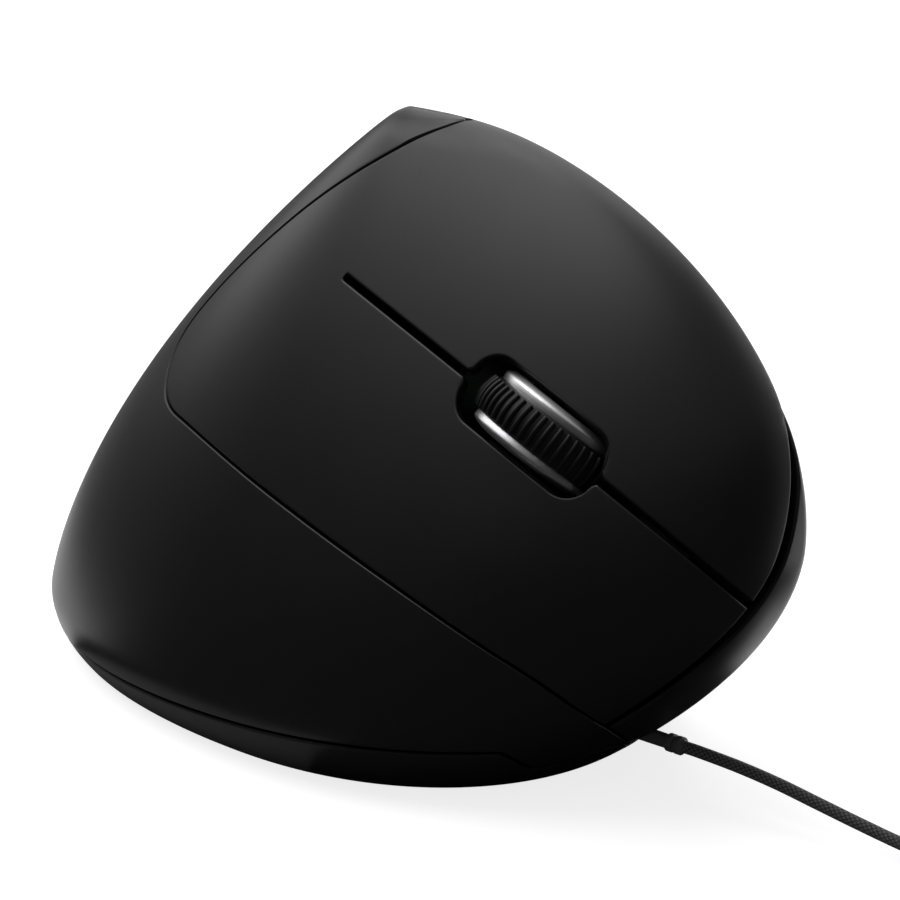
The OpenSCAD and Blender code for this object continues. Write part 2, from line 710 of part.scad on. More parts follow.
arm_top = axle_depth - 2.8;
bar_top = axle_depth + wheel_radius + 1;
bar_thickness = 1.4;
tab_reach = 13;
tab_half = 3;
tab_depth = [7.2, 6];
module wheel_cradle() {
  color([0.24, 0.24, 0.25]) {
    difference() {
      place(finger) {
        for (side = [-1, 1]) {
          local_box(
            [side > 0 ? arm_inner : -arm_outer, -arm_half, -bar_top - bar_thickness],
            [side > 0 ? arm_outer : -arm_inner, arm_half, -arm_top]);
        }
        local_box([-arm_outer, -arm_half, -bar_top - bar_thickness], [arm_outer, arm_half, -bar_top]);
        local_box([arm_inner, -tab_half, -tab_depth[0]], [tab_reach, tab_half, -tab_depth[1]]);
      }
      on_axle() translate([0, 0, -arm_outer - 1])
        cylinder(r = axle_radius + axle_clearance, h = 2 * arm_outer + 2);
    }
  }
}
encoder_depth = plate_top - 0.4;
module wheel_encoder() {
  color([0.5, 0.38, 0.2]) {
    difference() {
      place(finger) {
        local_box([-encoder_reach, 0.5 - arm_half, -encoder_depth], [-arm_outer, arm_half - 0.5, -arm_top]);
      }
      on_axle() translate([0, 0, -encoder_reach - 1])
        cylinder(r = axle_radius + axle_clearance, h = encoder_width + 2);
    }
  }
}

// Finger switches on the button board, each with a plunger under its button
switch_width = 5.8;
switch_length = 6.4;
switch_y = 10;
switch_x = [-11.5, 9];
plunger_y = switch_length / 2;
plunger_fit = 0.06;
plunger_sink = 4;
plunger_seat = 2.6;
function plunger_at(x) = [x + switch_width / 2, switch_y + plunger_y];
function inner_depth(x, y) = let (c = chart(x, y, wall)) inside_frame(finger, skin(c[0], c[1], wall))[2];
function plunger_top(at) =
  min([for (a = [0:45:315]) inner_depth(at[0] + plunger_radius * cos(a), at[1] + plunger_radius * sin(a))])
    - plunger_clearance;
module finger_switch(x) {
  color([0.08, 0.08, 0.09]) {
    place(finger) {
      difference() {
        local_box(
          [x, switch_y, -board_depth],
          [x + switch_width, switch_y + switch_length, switch_height - board_depth]);
        translate([plunger_at(x)[0], plunger_at(x)[1], switch_height - board_depth - plunger_sink])
          cylinder(r = plunger_radius + plunger_fit, h = plunger_sink + 1);
      }
    }
  }
}
module finger_plunger(x) {
  at = plunger_at(x);
  low = switch_height - board_depth - plunger_seat;
  color([0.85, 0.85, 0.82]) {
    place(finger) {
      translate([at[0], at[1], low])
        cylinder(r = plunger_radius, h = plunger_top(at) - low);
    }
  }
}
module index_switch() { finger_switch(switch_x[0]); }
module index_plunger() { finger_plunger(switch_x[0]); }
module middle_switch() { finger_switch(switch_x[1]); }
module middle_plunger() { finger_plunger(switch_x[1]); }

// Small push switches for the wheel and the thumb buttons
tact_size = 6;
tact_sink = 2.6;
tact_seat = 1.6;
module tact() {
  color([0.1, 0.1, 0.11]) {
    difference() {
      translate([-tact_size / 2, -tact_size / 2, 0]) cube([tact_size, tact_size, tact_height]);
      translate([0, 0, tact_height - tact_sink])
        cylinder(r = plunger_radius + plunger_fit, h = tact_sink + 1);
    }
  }
}
module tact_plunger(rise) {
  color([0.85, 0.85, 0.82]) {
    translate([0, 0, tact_height - tact_seat]) cylinder(r = plunger_radius, h = tact_seat + rise);
  }
}
wheel_switch_x = 10.4;
module wheel_switch() {
  place(finger) translate([wheel_switch_x, 0, -board_depth]) tact();
}
module wheel_plunger() {
  rise = board_depth - tact_height - tab_depth[0] - plunger_clearance;
  place(finger) translate([wheel_switch_x, 0, -board_depth]) tact_plunger(rise);
}

thumb_board_depth = 6.6;
thumb_board_half = 5;
thumb_board_reach = [-16, 12.4];
thumb_board_thickness = 1.2;
function thumb_spot(turns) =
  inside_frame(thumb, skin((turns[0] + turns[1]) / 2, (thumb_rows[0] + thumb_rows[1]) / 2, wall));
module thumb_board() {
  color([0.05, 0.25, 0.12]) {
    place(thumb) {
      local_box(
        [-thumb_board_half, thumb_board_reach[0], -thumb_board_depth - thumb_board_thickness],
        [thumb_board_half, thumb_board_reach[1], -thumb_board_depth]);
    }
  }
}
module thumb_tact(turns) {
  spot = thumb_spot(turns);
  place(thumb) translate([spot[0], spot[1], -thumb_board_depth]) tact();
}
module thumb_tact_plunger(turns) {
  spot = thumb_spot(turns);
  place(thumb) translate([spot[0], spot[1], -thumb_board_depth])
    tact_plunger(spot[2] - plunger_clearance + thumb_board_depth - tact_height);
}
module forward_switch() { thumb_tact(forward_turns); }
module forward_plunger() { thumb_tact_plunger(forward_turns); }
module back_switch() { thumb_tact(back_turns); }
module back_plunger() { thumb_tact_plunger(back_turns); }

// Main board on the base, with the sensor over its window
main_low = floor_top + standoff_height;
main_top = main_low + board_thickness;
sensor_size = [9, 11, 3.2];
module main_board() {
  color([0.05, 0.25, 0.12]) {
    difference() {
      translate([board_corner[0], board_corner[1], main_low])
        cube([main_board_width, main_board_length, board_thickness]);
      translate([sensor[0] - 3, sensor[1] - 3, main_low - 1]) cube([6, 6, board_thickness + 2]);
      for (h = board_holes) {
        translate([h[0], h[1], main_low - 1])
          cylinder(r = screw_radius + screw_clearance, h = board_thickness + 2);
      }
    }
  }
}
module board_screws() {
  color([0.55, 0.55, 0.58]) {
    for (h = board_holes) {
      translate([h[0], h[1], main_top + head_height]) rotate([180, 0, 0])
        screw(board_screw_length, screw_radius);
    }
  }
}
module on_board(x, y) {
  translate([x, y, main_top]) children();
}
module block(size) {
  translate([-size[0] / 2, -size[1] / 2, 0]) cube(size);
}
leg_pitch = 1.8;
module sensor_chip() {
  color([0.07, 0.07, 0.08]) {
    on_board(sensor[0], sensor[1]) {
      block(sensor_size);
      for (k = [-2:2]) {
        translate([0, k * leg_pitch, 0]) block([sensor_size[0] + 2, 0.6, 0.5]);
      }
    }
  }
}
lens_size = [11, 17];
module sensor_lens() {
  color([0.85, 0.88, 0.9, 0.6]) {
    translate([sensor[0], sensor[1], floor_top]) block([lens_size[0], lens_size[1], standoff_height]);
    translate([sensor[0], sensor[1], floor_top - 1.2]) cylinder(r = 2.6, h = 2);
  }
}
led_radius = 1.5;
led_length = 5;
led_lift = 2.6;
clip_size = [7, 3.4, 5.4];
led_y = 1.5;
module sensor_led() {
  color([0.85, 0.3, 0.25]) {
    on_board(sensor[0], sensor[1] + 11) {
      translate([0, led_y - led_length, led_lift]) rotate([-90, 0, 0]) cylinder(r = led_radius, h = led_length);
      translate([0, led_y, led_lift]) rotate([-90, 0, 0]) cylinder(r = led_radius + 0.4, h = 0.8);
    }
  }
}
module led_clip() {
  color([0.1, 0.1, 0.11]) {
    on_board(sensor[0], sensor[1] + 11) {
      difference() {
        translate([0, led_y - clip_size[1] / 2, 0]) block(clip_size);
        translate([0, led_y - led_length, led_lift]) rotate([-90, 0, 0])
          cylinder(r = led_radius + seat_clearance, h = led_length + 1);
      }
    }
  }
}
chip_size = [10, 4, 1.6];
chip_leg = 1.27;
module controller_chip() {
  color([0.07, 0.07, 0.08]) {
    on_board(-9, -26) {
      block(chip_size);
      for (k = [-3:3]) {
        translate([k * chip_leg, 0, 0]) block([0.5, chip_size[1] + 2, 0.4]);
      }
    }
  }
}
crystal_length = 6;
module clock_crystal() {
  color([0.7, 0.7, 0.72]) {
    on_board(-15, -20) {
      block([crystal_length, 3.6, 3.2]);
      for (e = [-1, 1]) {
        translate([e * crystal_length / 2, 0, 0]) cylinder(d = 3.6, h = 3.2);
      }
    }
  }
}
module capacitors() {
  color([0.15, 0.16, 0.25]) {
    for (y = [-10, -4]) {
      on_board(-17, y) cylinder(r = 2, h = 5);
    }
  }
}
socket_size = [7.5, 4.5, 3];
socket_spot = [-3, 4];
connector_height = 3.6;
module cord_socket() {
  color([0.85, 0.84, 0.78]) {
    on_board(socket_spot[0], socket_spot[1]) block(socket_size);
  }
}
module cord_connector() {
  color([0.8, 0.79, 0.74]) {
    on_board(socket_spot[0], socket_spot[1]) {
      translate([0, 0, socket_size[2]]) block([socket_size[0] - 0.8, socket_size[1] - 0.6, connector_height]);
    }
  }
}

// A tube swept along a list of points
function tangent(points, k) = unit(points[min(k + 1, len(points) - 1)] - points[max(k - 1, 0)]);
function tube_ring(p, way, radius, sides) =
  let (side = unit(cross(way, [0, 0, 1])), up = cross(side, way))
  [for (k = [0:sides - 1]) let (a = 360 * (k + 0.5) / sides) p + radius * (side * cos(a) + up * sin(a))];
module tube(points, radius, sides) {
  n = len(points);
  body = n * sides;
  rings = [for (k = [0:n - 1]) tube_ring(points[k], tangent(points, k), radius, sides)];
  faces = concat(
    [for (j = [0:n - 2]) for (i = [0:sides - 1]) let (k = (i + 1) % sides)
      each quad(j * sides + i, j * sides + k, (j + 1) * sides + k, (j + 1) * sides + i)],
    [for (i = [0:sides - 1]) [body, (i + 1) % sides, i]],
    [for (i = [0:sides - 1]) [body + 1, (n - 1) * sides + i, (n - 1) * sides + (i + 1) % sides]]);
  polyhedron(concat(flat(rings), [points[0], points[n - 1]]), faces);
}
// A smooth line through hand-set points, with a few steps between neighbours.
function through(points, per) =
  let (n = len(points) - 1)
  concat([for (k = [0:n - 1]) for (j = [0:per - 1])
    let (
      s = j / per,
      a = points[max(k - 1, 0)],
      b = points[k],
      c = points[k + 1],
      d = points[min(k + 2, n)]
    )
    b + (c - a) * s / 2 + (2 * a - 5 * b + 4 * c - d) * s * s / 2 + (3 * (b - c) + d - a) * s * s * s / 2],
    [points[n]]);

// Cord outlet at the nose
cord_radius = cord_diameter / 2;
cord_x = skin(outlet_turn, 5.2)[0];
cord_z = 5.2;
gland_half = 1.8;
gland_top = 6.6;
gland_rear = 35;
gland_front = 39;
sleeve_radius = 0.95;
collar_radius = 1.2;
collars = [43, 44.3];
collar_length = 1;
relief_end = 45.6;
module strain_relief() {
  color([0.07, 0.07, 0.07]) {
    local_box(
      [cord_x - gland_half, gland_rear, base_top(outlet_turn)],
      [cord_x + gland_half, gland_front, gland_top]);
    translate([cord_x, gland_front, cord_z]) rotate([-90, 0, 0])
      cylinder(r = sleeve_radius, h = relief_end - gland_front);
    for (y = collars) {
      translate([cord_x, y, cord_z]) rotate([-90, 0, 0]) cylinder(r = collar_radius, h = collar_length);
    }
  }
}

// The cord lies on the desk and runs into its coil, past the edge of the picture
cord_lift = cord_radius + 0.7;
coil_pitch = cord_diameter + coil_gap;
layer_loops = coil_loops / coil_layers;
coil_middle = 6 * cord_diameter;
coil_outer = coil_middle + coil_pitch * layer_loops / 2;
coil_at = [cord_x - coil_outer, 114];
cord_path = [
  [cord_x, relief_end, cord_z], [cord_x, 48, cord_z], [cord_x, 54, 5], [cord_x, 60, 4.5], [cord_x, 66, 3.7],
  [cord_x, 72, 2.9], [cord_x, 78, 2.2], [cord_x, 84, 1.7], [cord_x, 92, cord_lift], [cord_x, 102, cord_lift],
  [cord_x, coil_at[1] - cord_diameter, cord_lift]];
module cord() {
  color([0.06, 0.06, 0.06]) tube(through(cord_path, 2), cord_radius, 8);
}

loop_rings = 24;
coil_turns = coil_loops + 0.5;
function swing(s) =
  let (k = floor(s / layer_loops), r = s - k * layer_loops)
  s > coil_loops ? coil_loops - s : k % 2 == 0 ? r : layer_loops - r;
function climb(s) =
  let (k = floor(s / layer_loops + 0.5), d = clamp((s - k * layer_loops) * 4, -1, 1))
  k < 1 ? 0 : k >= coil_layers ? coil_layers - 1 : k - 0.5 + d * (3 - d * d) / 4;
function coil_point(s) =
  let (
    r = coil_outer - coil_pitch * swing(s),
    a = 360 * s
  )
  [coil_at[0] + r * cos(a), coil_at[1] + r * sin(a), cord_lift + coil_pitch * climb(min(s, coil_loops))];
coil_spiral = [for (k = [0:coil_turns * loop_rings]) coil_point(k / loop_rings)];
coil_lead = [0, cord_diameter, 0];
coil_start = coil_spiral[0] - coil_lead;
coil_end = coil_spiral[len(coil_spiral) - 1] - coil_lead;
coil_points = concat([coil_start], coil_spiral, [coil_end]);
function coil_room(k) =
  min([for (j = [k + 14:len(coil_points) - 1]) norm(coil_points[j] - coil_points[k])]);
module cord_coil() {
  echo(least_gap = min([for (k = [0:len(coil_points) - 16]) coil_room(k)]) - cord_diameter);
  color([0.06, 0.06, 0.06]) tube(coil_points, cord_radius, 6);
}
tail_end = [coil_end[0], coil_at[1] - 16, 4.2];
module cord_tail() {
  path = [coil_end, coil_end - [0, 2, 0], coil_end - [0, 7, 1], tail_end + [0, 4, 0.3], tail_end + [0, 1.8, 0], tail_end];
  color([0.06, 0.06, 0.06]) tube(through(path, 2), cord_radius, 8);
}

// A strap round the coil keeps the loops together
tie_width = 3;
tie_thickness = 0.4;
tie_room = 0.25;
module coil_tie() {
  span = [
    coil_at[1] - coil_outer - cord_radius - tie_room,
    coil_at[1] - coil_outer + coil_pitch * layer_loops + cord_radius + tie_room];
  rise = [cord_lift - cord_radius - tie_room, cord_lift + (coil_layers - 1) * coil_pitch + cord_radius + tie_room];
  color([0.12, 0.12, 0.12]) {
    difference() {
      local_box(
        [coil_at[0] - tie_width / 2, span[0] - tie_thickness, rise[0] - tie_thickness],
        [coil_at[0] + tie_width / 2, span[1] + tie_thickness, rise[1] + tie_thickness]);
      local_box(
        [coil_at[0] - tie_width, span[0], rise[0]],
        [coil_at[0] + tie_width, span[1], rise[1]]);
    }
  }
}

// USB plug lying beside the coil
grip_size = [15.6, 21, 8];
shell_length = 18.6;
shell_wall = 0.35;
module at_plug() {
  translate([tail_end[0], tail_end[1], 0]) children();
}
module plug_grip() {
  color([0.07, 0.07, 0.07]) {
    at_plug() {
      difference() {
        translate([0, -grip_size[1] / 2, 0]) block(grip_size);
        translate([0, -grip_size[1] - 1, tail_end[2] - plug_height / 2])
          translate([-plug_width / 2, 0, 0]) cube([plug_width, 7, plug_height]);
      }
    }
  }
}
plug_seat = 6;
module plug_shell() {
  color([0.8, 0.8, 0.82]) {
    at_plug() {
      translate([-plug_width / 2, plug_seat - grip_size[1] - shell_length, tail_end[2] - plug_height / 2]) {
        difference() {
          cube([plug_width, shell_length, plug_height]);
          translate([shell_wall, -1, shell_wall])
            cube([plug_width - 2 * shell_wall, shell_length + 2, plug_height - 2 * shell_wall]);
        }
      }
    }
  }
}
tongue_height = 1.8;
module plug_tongue() {
  color([0.9, 0.9, 0.9]) {
    at_plug() {
      translate([
        shell_wall - plug_width / 2,
        plug_seat - grip_size[1] - shell_length + 0.8,
        tail_end[2] - plug_height / 2 + shell_wall])
        cube([plug_width - 2 * shell_wall, shell_length - 0.8, tongue_height]);
    }
  }
}
contact_size = [1, 8, 0.2];
module plug_contacts() {
  color([0.85, 0.7, 0.35]) {
    at_plug() {
      for (k = [-1.5:1:1.5]) {
        translate([
          k * 2.3 - contact_size[0] / 2,
          plug_seat - grip_size[1] - shell_length + 1.6,
          tail_end[2] - plug_height / 2 + shell_wall + tongue_height])
          cube(contact_size);
      }
    }
  }
}

// The lead inside, from the outlet to its connector on the board
lead_radius = 0.8;
module inner_lead() {
  z = main_top + socket_size[2] + connector_height / 2;
  y = socket_spot[1] + (socket_size[1] - 0.6) / 2;
  path = [
    [cord_x, gland_rear, cord_z], [cord_x, gland_rear - 2, cord_z], [cord_x - 0.4, gland_rear - 7, cord_z + 0.8],
    [cord_x - 1, gland_rear - 15, mix(cord_z, z, 0.6)], [socket_spot[0], y + 6, z],
    [socket_spot[0], y + 2 * lead_radius, z], [socket_spot[0], y, z]];
  color([0.2, 0.2, 0.2]) tube(through(path, 2), lead_radius, 8);
}

base_shell();
finger_shell();
thumb_shell();
button_panel();
index_button();
middle_button();
forward_button();
back_button();
glide_feet();
case_screws();
inner_frame();
button_board();
main_board();
thumb_board();
board_screws();
frame_screws();
wheel_hub();
wheel_tyre();
upper_rim();
lower_rim();
wheel_cradle();
wheel_encoder();
index_switch();
index_plunger();
middle_switch();
middle_plunger();
wheel_switch();
wheel_plunger();
forward_switch();
forward_plunger();
back_switch();
back_plunger();
sensor_chip();
sensor_lens();
sensor_led();
led_clip();
controller_chip();
clock_crystal();
capacitors();
cord_socket();
cord_connector();
strain_relief();
cord();
cord_coil();
coil_tie();
plug_grip();
plug_shell();
plug_tongue();
plug_contacts();
inner_lead();
cord_tail();
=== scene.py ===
# %% [markdown]
# # A vertical mouse for the right hand
# The solids of this mouse were made in CAD and packed as a frame. This lesson dresses that frame:
# it lays a smooth skin over the casing, ribs the wheel, winds the cord and gives every piece a finish.
# The frame is loaded first, because every later piece takes its place from it.

# %% Load the frame
import bmesh
import bpy
import json
import math
import numpy as np
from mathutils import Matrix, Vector


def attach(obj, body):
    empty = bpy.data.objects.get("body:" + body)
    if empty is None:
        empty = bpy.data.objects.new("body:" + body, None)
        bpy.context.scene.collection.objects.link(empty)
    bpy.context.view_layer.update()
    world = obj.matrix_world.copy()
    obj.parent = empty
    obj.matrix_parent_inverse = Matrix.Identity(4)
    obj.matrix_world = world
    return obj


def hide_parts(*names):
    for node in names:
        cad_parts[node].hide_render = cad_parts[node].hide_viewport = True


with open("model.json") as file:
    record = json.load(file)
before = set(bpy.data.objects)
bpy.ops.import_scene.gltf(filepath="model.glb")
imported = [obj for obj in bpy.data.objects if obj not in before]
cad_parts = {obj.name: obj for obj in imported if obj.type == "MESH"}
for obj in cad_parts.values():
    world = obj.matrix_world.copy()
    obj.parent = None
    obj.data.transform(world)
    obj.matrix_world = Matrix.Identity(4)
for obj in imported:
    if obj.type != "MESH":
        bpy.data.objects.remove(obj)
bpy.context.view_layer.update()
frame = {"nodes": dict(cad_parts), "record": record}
MM = 0.001

# %% [markdown]
# ## Camera
# The picture was taken from in front of the mouse, on its finger side, with a long lens.
# A camera on a sphere round the body needs only a direction and a distance. The body sits a little
# to the left of the picture's middle, so the camera looks at a point beside it and needs no shift.

# %% Camera
VIEW_TURN = math.radians(41.92)
VIEW_RISE = math.radians(18.69)
VIEW_DISTANCE = 450 * MM
VIEW_LENS = 137.5
BODY_POINT = Vector((-3.1, -0.3, 35)) * MM
AIM_RIGHT, AIM_DOWN = 3.57 * MM, 1.45 * MM

view_back = Vector((
    math.cos(VIEW_TURN) * math.cos(VIEW_RISE),
    math.sin(VIEW_TURN) * math.cos(VIEW_RISE),
    math.sin(VIEW_RISE),
))
view_right = Vector((-math.sin(VIEW_TURN), math.cos(VIEW_TURN), 0))
view_up = view_back.cross(view_right)
lens = bpy.data.cameras.new("photo_lens")
lens.lens = VIEW_LENS
camera = bpy.data.objects.new("photo_camera", lens)
bpy.context.scene.collection.objects.link(camera)
camera.location = BODY_POINT + view_back * VIEW_DISTANCE
aim = BODY_POINT + view_right * AIM_RIGHT - view_up * AIM_DOWN
camera.rotation_euler = (aim - camera.location).to_track_quat("-Z", "Y").to_euler()
bpy.context.scene.camera = camera
print("camera at", [round(x, 3) for x in camera.location])

# %% [markdown]
# ## Helpers for finishes
# A moulded plastic is never quite even: it has a fine grain in its skin and slight changes of gloss.
# That effect is shared by most pieces here, so it is one node group with named inputs, and each
# finish places it with its own scale and depth.

# %% Node helpers and grain group
def feed(tree, sockets, values):
    """Links the values that are sockets and sets the others as constants."""
    for name, value in values.items():
        if isinstance(value, bpy.types.NodeSocket):
            tree.links.new(value, sockets[name])
        else:
            sockets[name].default_value = value


def add_node(tree, kind, values=None, **settings):
    """Adds a node with its settings, constants and links, and gives its outputs."""
    node = tree.nodes.new(kind)
    for name, value in settings.items():
        setattr(node, name, value)
    feed(tree, node.inputs, values or {})
    return node.outputs


def math_node(tree, operation, *values):
    return add_node(tree, "ShaderNodeMath", dict(enumerate(values)), operation=operation)[0]


def new_group(name, kind, inputs, outputs):
    """A node group with named inputs and outputs, and the outputs of its input node."""
    group = bpy.data.node_groups.new(name, kind)
    for label, sort, value in inputs:
        made = group.interface.new_socket(name=label, in_out="INPUT", socket_type="NodeSocket" + sort)
        if value is not None:
            made.default_value = value
    for label, sort in outputs:
        group.interface.new_socket(name=label, in_out="OUTPUT", socket_type="NodeSocket" + sort)
    return group, add_node(group, "NodeGroupInput")


def new_finish(name):
    """A new material, its tree and the inputs of its shader."""
    made = bpy.data.materials.new(name)
    made.use_nodes = True
    return made, made.node_tree, made.node_tree.nodes["Principled BSDF"].inputs


def build_grain_group():
    group, enter = new_group("moulded_grain", "ShaderNodeTree", (
        ("Grain Scale", "Float", 9000.0), ("Cloud Scale", "Float", 90.0),
        ("Tint", "Color", (0.02, 0.02, 0.02, 1)), ("Tint Change", "Float", 0.1),
        ("Gloss", "Float", 0.5), ("Gloss Change", "Float", 0.06),
    ), (("Color", "Color"), ("Roughness", "Float"), ("Height", "Float")))
    place = add_node(group, "ShaderNodeTexCoord")["Object"]
    grain, cloud = (
        add_node(group, "ShaderNodeTexNoise", {"Vector": place, "Scale": enter[scale], "Detail": detail})["Fac"]
        for scale, detail in (("Grain Scale", 2), ("Cloud Scale", 3)))
    centred = math_node(group, "SUBTRACT", cloud, 0.5)
    gloss = math_node(group, "MULTIPLY_ADD", centred, enter["Gloss Change"], enter["Gloss"])
    shade = math_node(group, "MULTIPLY_ADD", centred, enter["Tint Change"], 1.0)
    tint = add_node(group, "ShaderNodeVectorMath", {0: enter["Tint"], "Scale": shade}, operation="SCALE")
    add_node(group, "NodeGroupOutput", {"Color": tint[0], "Roughness": gloss, "Height": grain})
    return group


GRAIN = build_grain_group()
GRAIN_DEPTH = 0.02 * MM


def moulded(name, tint, gloss, grain_scale=9000.0, bump=0.15, gloss_change=0.06, tint_change=0.12,
            metal=0.0, specular=0.4, cloud_scale=90.0):
    """A finish with the shared grain: colour, gloss and a fine bump that change over the surface."""
    made, tree, shader = new_finish(name)
    grain = add_node(tree, "ShaderNodeGroup", {
        "Grain Scale": grain_scale, "Cloud Scale": cloud_scale, "Tint": (*tint, 1),
        "Tint Change": tint_change, "Gloss": gloss, "Gloss Change": gloss_change}, node_tree=GRAIN)
    relief = add_node(tree, "ShaderNodeBump", {
        "Strength": bump, "Distance": GRAIN_DEPTH, "Height": grain["Height"]})
    feed(tree, shader, {
        "Base Color": grain["Color"], "Roughness": grain["Roughness"], "Normal": relief["Normal"],
        "Metallic": metal, "Specular IOR Level": specular})
    return made


soft_black = moulded("soft_black", (0.007, 0.007, 0.0073), 0.38, bump=0.12, specular=0.5)
base_black = moulded("base_black", (0.008, 0.008, 0.0083), 0.4, grain_scale=5000, specular=0.5)
print("finishes so far:", len(bpy.data.materials))

# %% [markdown]
# ## Helpers for meshes
# Every finished piece keeps its object at the origin with its place in the mesh, in metres,
# so the helper takes millimetres and scales them once.

# %% Mesh helper
SLOT_OF = {part["node"]: part["material_slot"] for part in frame["record"]["subparts"]}


def declare(piece, body, replaced):
    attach(piece, body)
    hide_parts(*replaced)


def add_piece(name, points_mm, faces, finish, body, replaced, smooth_angle=35.0):
    mesh = bpy.data.meshes.new(name)
    mesh.from_pydata((np.asarray(points_mm) * MM).tolist(), [], [tuple(map(int, f)) for f in faces])
    mesh.materials.append(finish)
    mesh.validate()
    mesh.shade_smooth()
    mesh.set_sharp_from_angle(angle=math.radians(smooth_angle))
    piece = bpy.data.objects.new(name, mesh)
    bpy.context.scene.collection.objects.link(piece)
    declare(piece, body, replaced)
    print(name, len(mesh.vertices), "points,", len(mesh.polygons), "faces")
    return piece

# %% [markdown]
# ## Body surface
# The body is a stack of horizontal slices. Each slice is four quarter superellipses, whose reach to
# the front, rear, right and left depends on its height. A point is given by its turn round the
# slice (0 right, 90 front, 180 left, 270 rear) and its height, as in the CAD source. The sizes are a
# hair under the CAD ones, so that this smooth skin stays inside the box of the faceted solids.

# %% Body surface
LENGTH, WIDTH, HEIGHT, WALL = 119.35, 66.38, 77.0, 1.8
NOSE_HEIGHT, NOSE_TUCK, TAIL_HEIGHT = 33.5, 26.8, 8.0
CREST_ROUND, CREST_ROLL, RIDGE_HALF = 1.2, 3.0, 0.1


def reach(z, low, wide, crest, a, b, tuck, power):
    above = crest + (wide - crest) * (1 - np.clip((z - low) / (HEIGHT - low), 0, 1) ** a) ** b
    below = wide - np.sign(wide) * tuck * np.clip((low - z) / low, 0, 1) ** power
    return np.where(z >= low, above, below)


def rounding(z, radius):
    d = np.clip(z - HEIGHT + radius, 0, radius)
    return radius - np.sqrt(np.maximum(0, radius ** 2 - d ** 2))


def skin(turn, height, inset=0.0):
    turn, z = np.broadcast_arrays(np.asarray(turn, float), np.asarray(height, float))
    trim, roll = inset + rounding(z, CREST_ROUND), inset + rounding(z, CREST_ROLL)
    front = reach(z, NOSE_HEIGHT, LENGTH / 2, -1.4, 1.97, 0.57, NOSE_TUCK, 1.75) - trim
    rear = reach(z, TAIL_HEIGHT, -LENGTH / 2, -9.7, 1.62, 0.97, 4.4, 2) + trim
    right = reach(z, 8, WIDTH / 2, -7.1, 1.24, 0.88, 4, 2)
    left = reach(z, 6, -WIDTH / 2, -13.1, 0.6, 1.667, 3, 2)
    ridge = (right + left) / 2
    right = np.maximum(right - roll, ridge + RIDGE_HALF)
    left = np.minimum(left + roll, ridge - RIDGE_HALF)
    h = z / HEIGHT
    mid_x = np.clip(-0.2 - 10.2 * h, left + RIDGE_HALF, right - RIDGE_HALF)
    mid_y = np.clip(-3.3 - 1.7 * h + 16 * h * (1 - h), rear + RIDGE_HALF, front - RIDGE_HALF)
    c, s = np.cos(np.radians(turn)), np.sin(np.radians(turn))
    power = np.where(c >= 0, np.where(s >= 0, 2.18, 2.05), np.where(s >= 0, 1.72 + 0.28 * h, 2.1))
    wide = np.where(c >= 0, right - mid_x, mid_x - left)
    long = np.where(s >= 0, front - mid_y, mid_y - rear)
    return np.stack([
        mid_x + wide * np.sign(c) * np.abs(c) ** (2 / power),
        mid_y + long * np.sign(s) * np.abs(s) ** (2 / power),
        z * (HEIGHT - inset) / HEIGHT,
    ], -1)


def slopes(turn, height):
    """The change of the surface point for one degree of turn and for one mm of height."""
    turn, height = np.asarray(turn, float), np.asarray(height, float)
    above, below = np.minimum(height + 0.25, HEIGHT), np.minimum(height, HEIGHT - 0.25) - 0.25
    by_turn = (skin(turn + 0.8, height) - skin(turn - 0.8, height)) / 1.6
    by_height = (skin(turn, above) - skin(turn, below)) / (above - below)[..., None]
    return by_turn, by_height


def unit(v):
    return v / np.maximum(np.linalg.norm(v, axis=-1, keepdims=True), 1e-12)


def skin_normal(turn, height):
    return unit(np.cross(*slopes(turn, height)))


def skin_frame(turn, height, way):
    n = skin_normal(turn, height)
    d = unit(np.asarray(way) - n * np.dot(way, n))
    return skin(turn, height), np.cross(d, n), d, n


WHEEL_TURN, WHEEL_HEIGHT, SLIT_DIP = 31.5, 47.5, math.radians(23)
FINGER = skin_frame(WHEEL_TURN, WHEEL_HEIGHT, [0, math.cos(SLIT_DIP), -math.sin(SLIT_DIP)])


def on_finger(points):
    """Surface points in the frame of the finger face: across, along, out."""
    return (points - FINGER[0]) @ np.stack(FINGER[1:], 1)


print("wheel stands at", np.round(FINGER[0], 2))

# %% [markdown]
# ## Seams
# The casing parts meet along curves on that surface. Each is the place where the surface crosses a
# plane or a simple rule, so it can be found by halving an interval again and again. A seam is kept
# as a list of turns and heights, and moved sideways by half its gap for the piece on either side.

# %% Seam curves
LOWER_SEAM, LOWER_FAN = 25.4, 0.065
LOWER_BOW, BOW_SPAN, LOWER_RISE, RISE_TURN, RISE_SPAN = -0.58, 24, 0.27, 46, 10
SLIT_TIP, SLIT_WIDTH = 0.07, 1.0
CUT_DEPTH, CUT_TIP, FRONT_GAP = 13.1, 0.115, 1.5
FLEX_LINE, FLEX_BEND, FLEX_BELOW, FLEX_SPAN = 36.5, 20.0, 7, 6
REAR_TURN, REAR_BOW_HEIGHT, REAR_BOWS = -55.0, 48.0, (0.16, 0.05)
SHOULDER_HEIGHT, SHOULDER_SLOPE, SHOULDER_BEND, SHOULDER_SPAN = HEIGHT - 15, 1.1, 0.0198, 9
TIP_RISE, TIP_BEND, CREST_SWEEP, CREST_TURN = 12.1, 0.125, 0.17, 128.0
SEAM_GAP, SEAM_STEP, SLIT_STEP, REAR_CORNER, FLAT_CREST = 0.36, 0.25, 0.1, 3.4, 0.7
BASE_SEAM, BASE_SLOPE = 6.4, 0.06
TAB_TURNS, TAB_HEIGHT, NOSE_SEAM, OUTLET_SEAM = (51.0, 62.0, 69.8, 70.8), 4.6, 6.2, 3.4
FALL_START, FALL_SPAN, FADE_END, FADE_SPAN = 72, 17, 150, 40


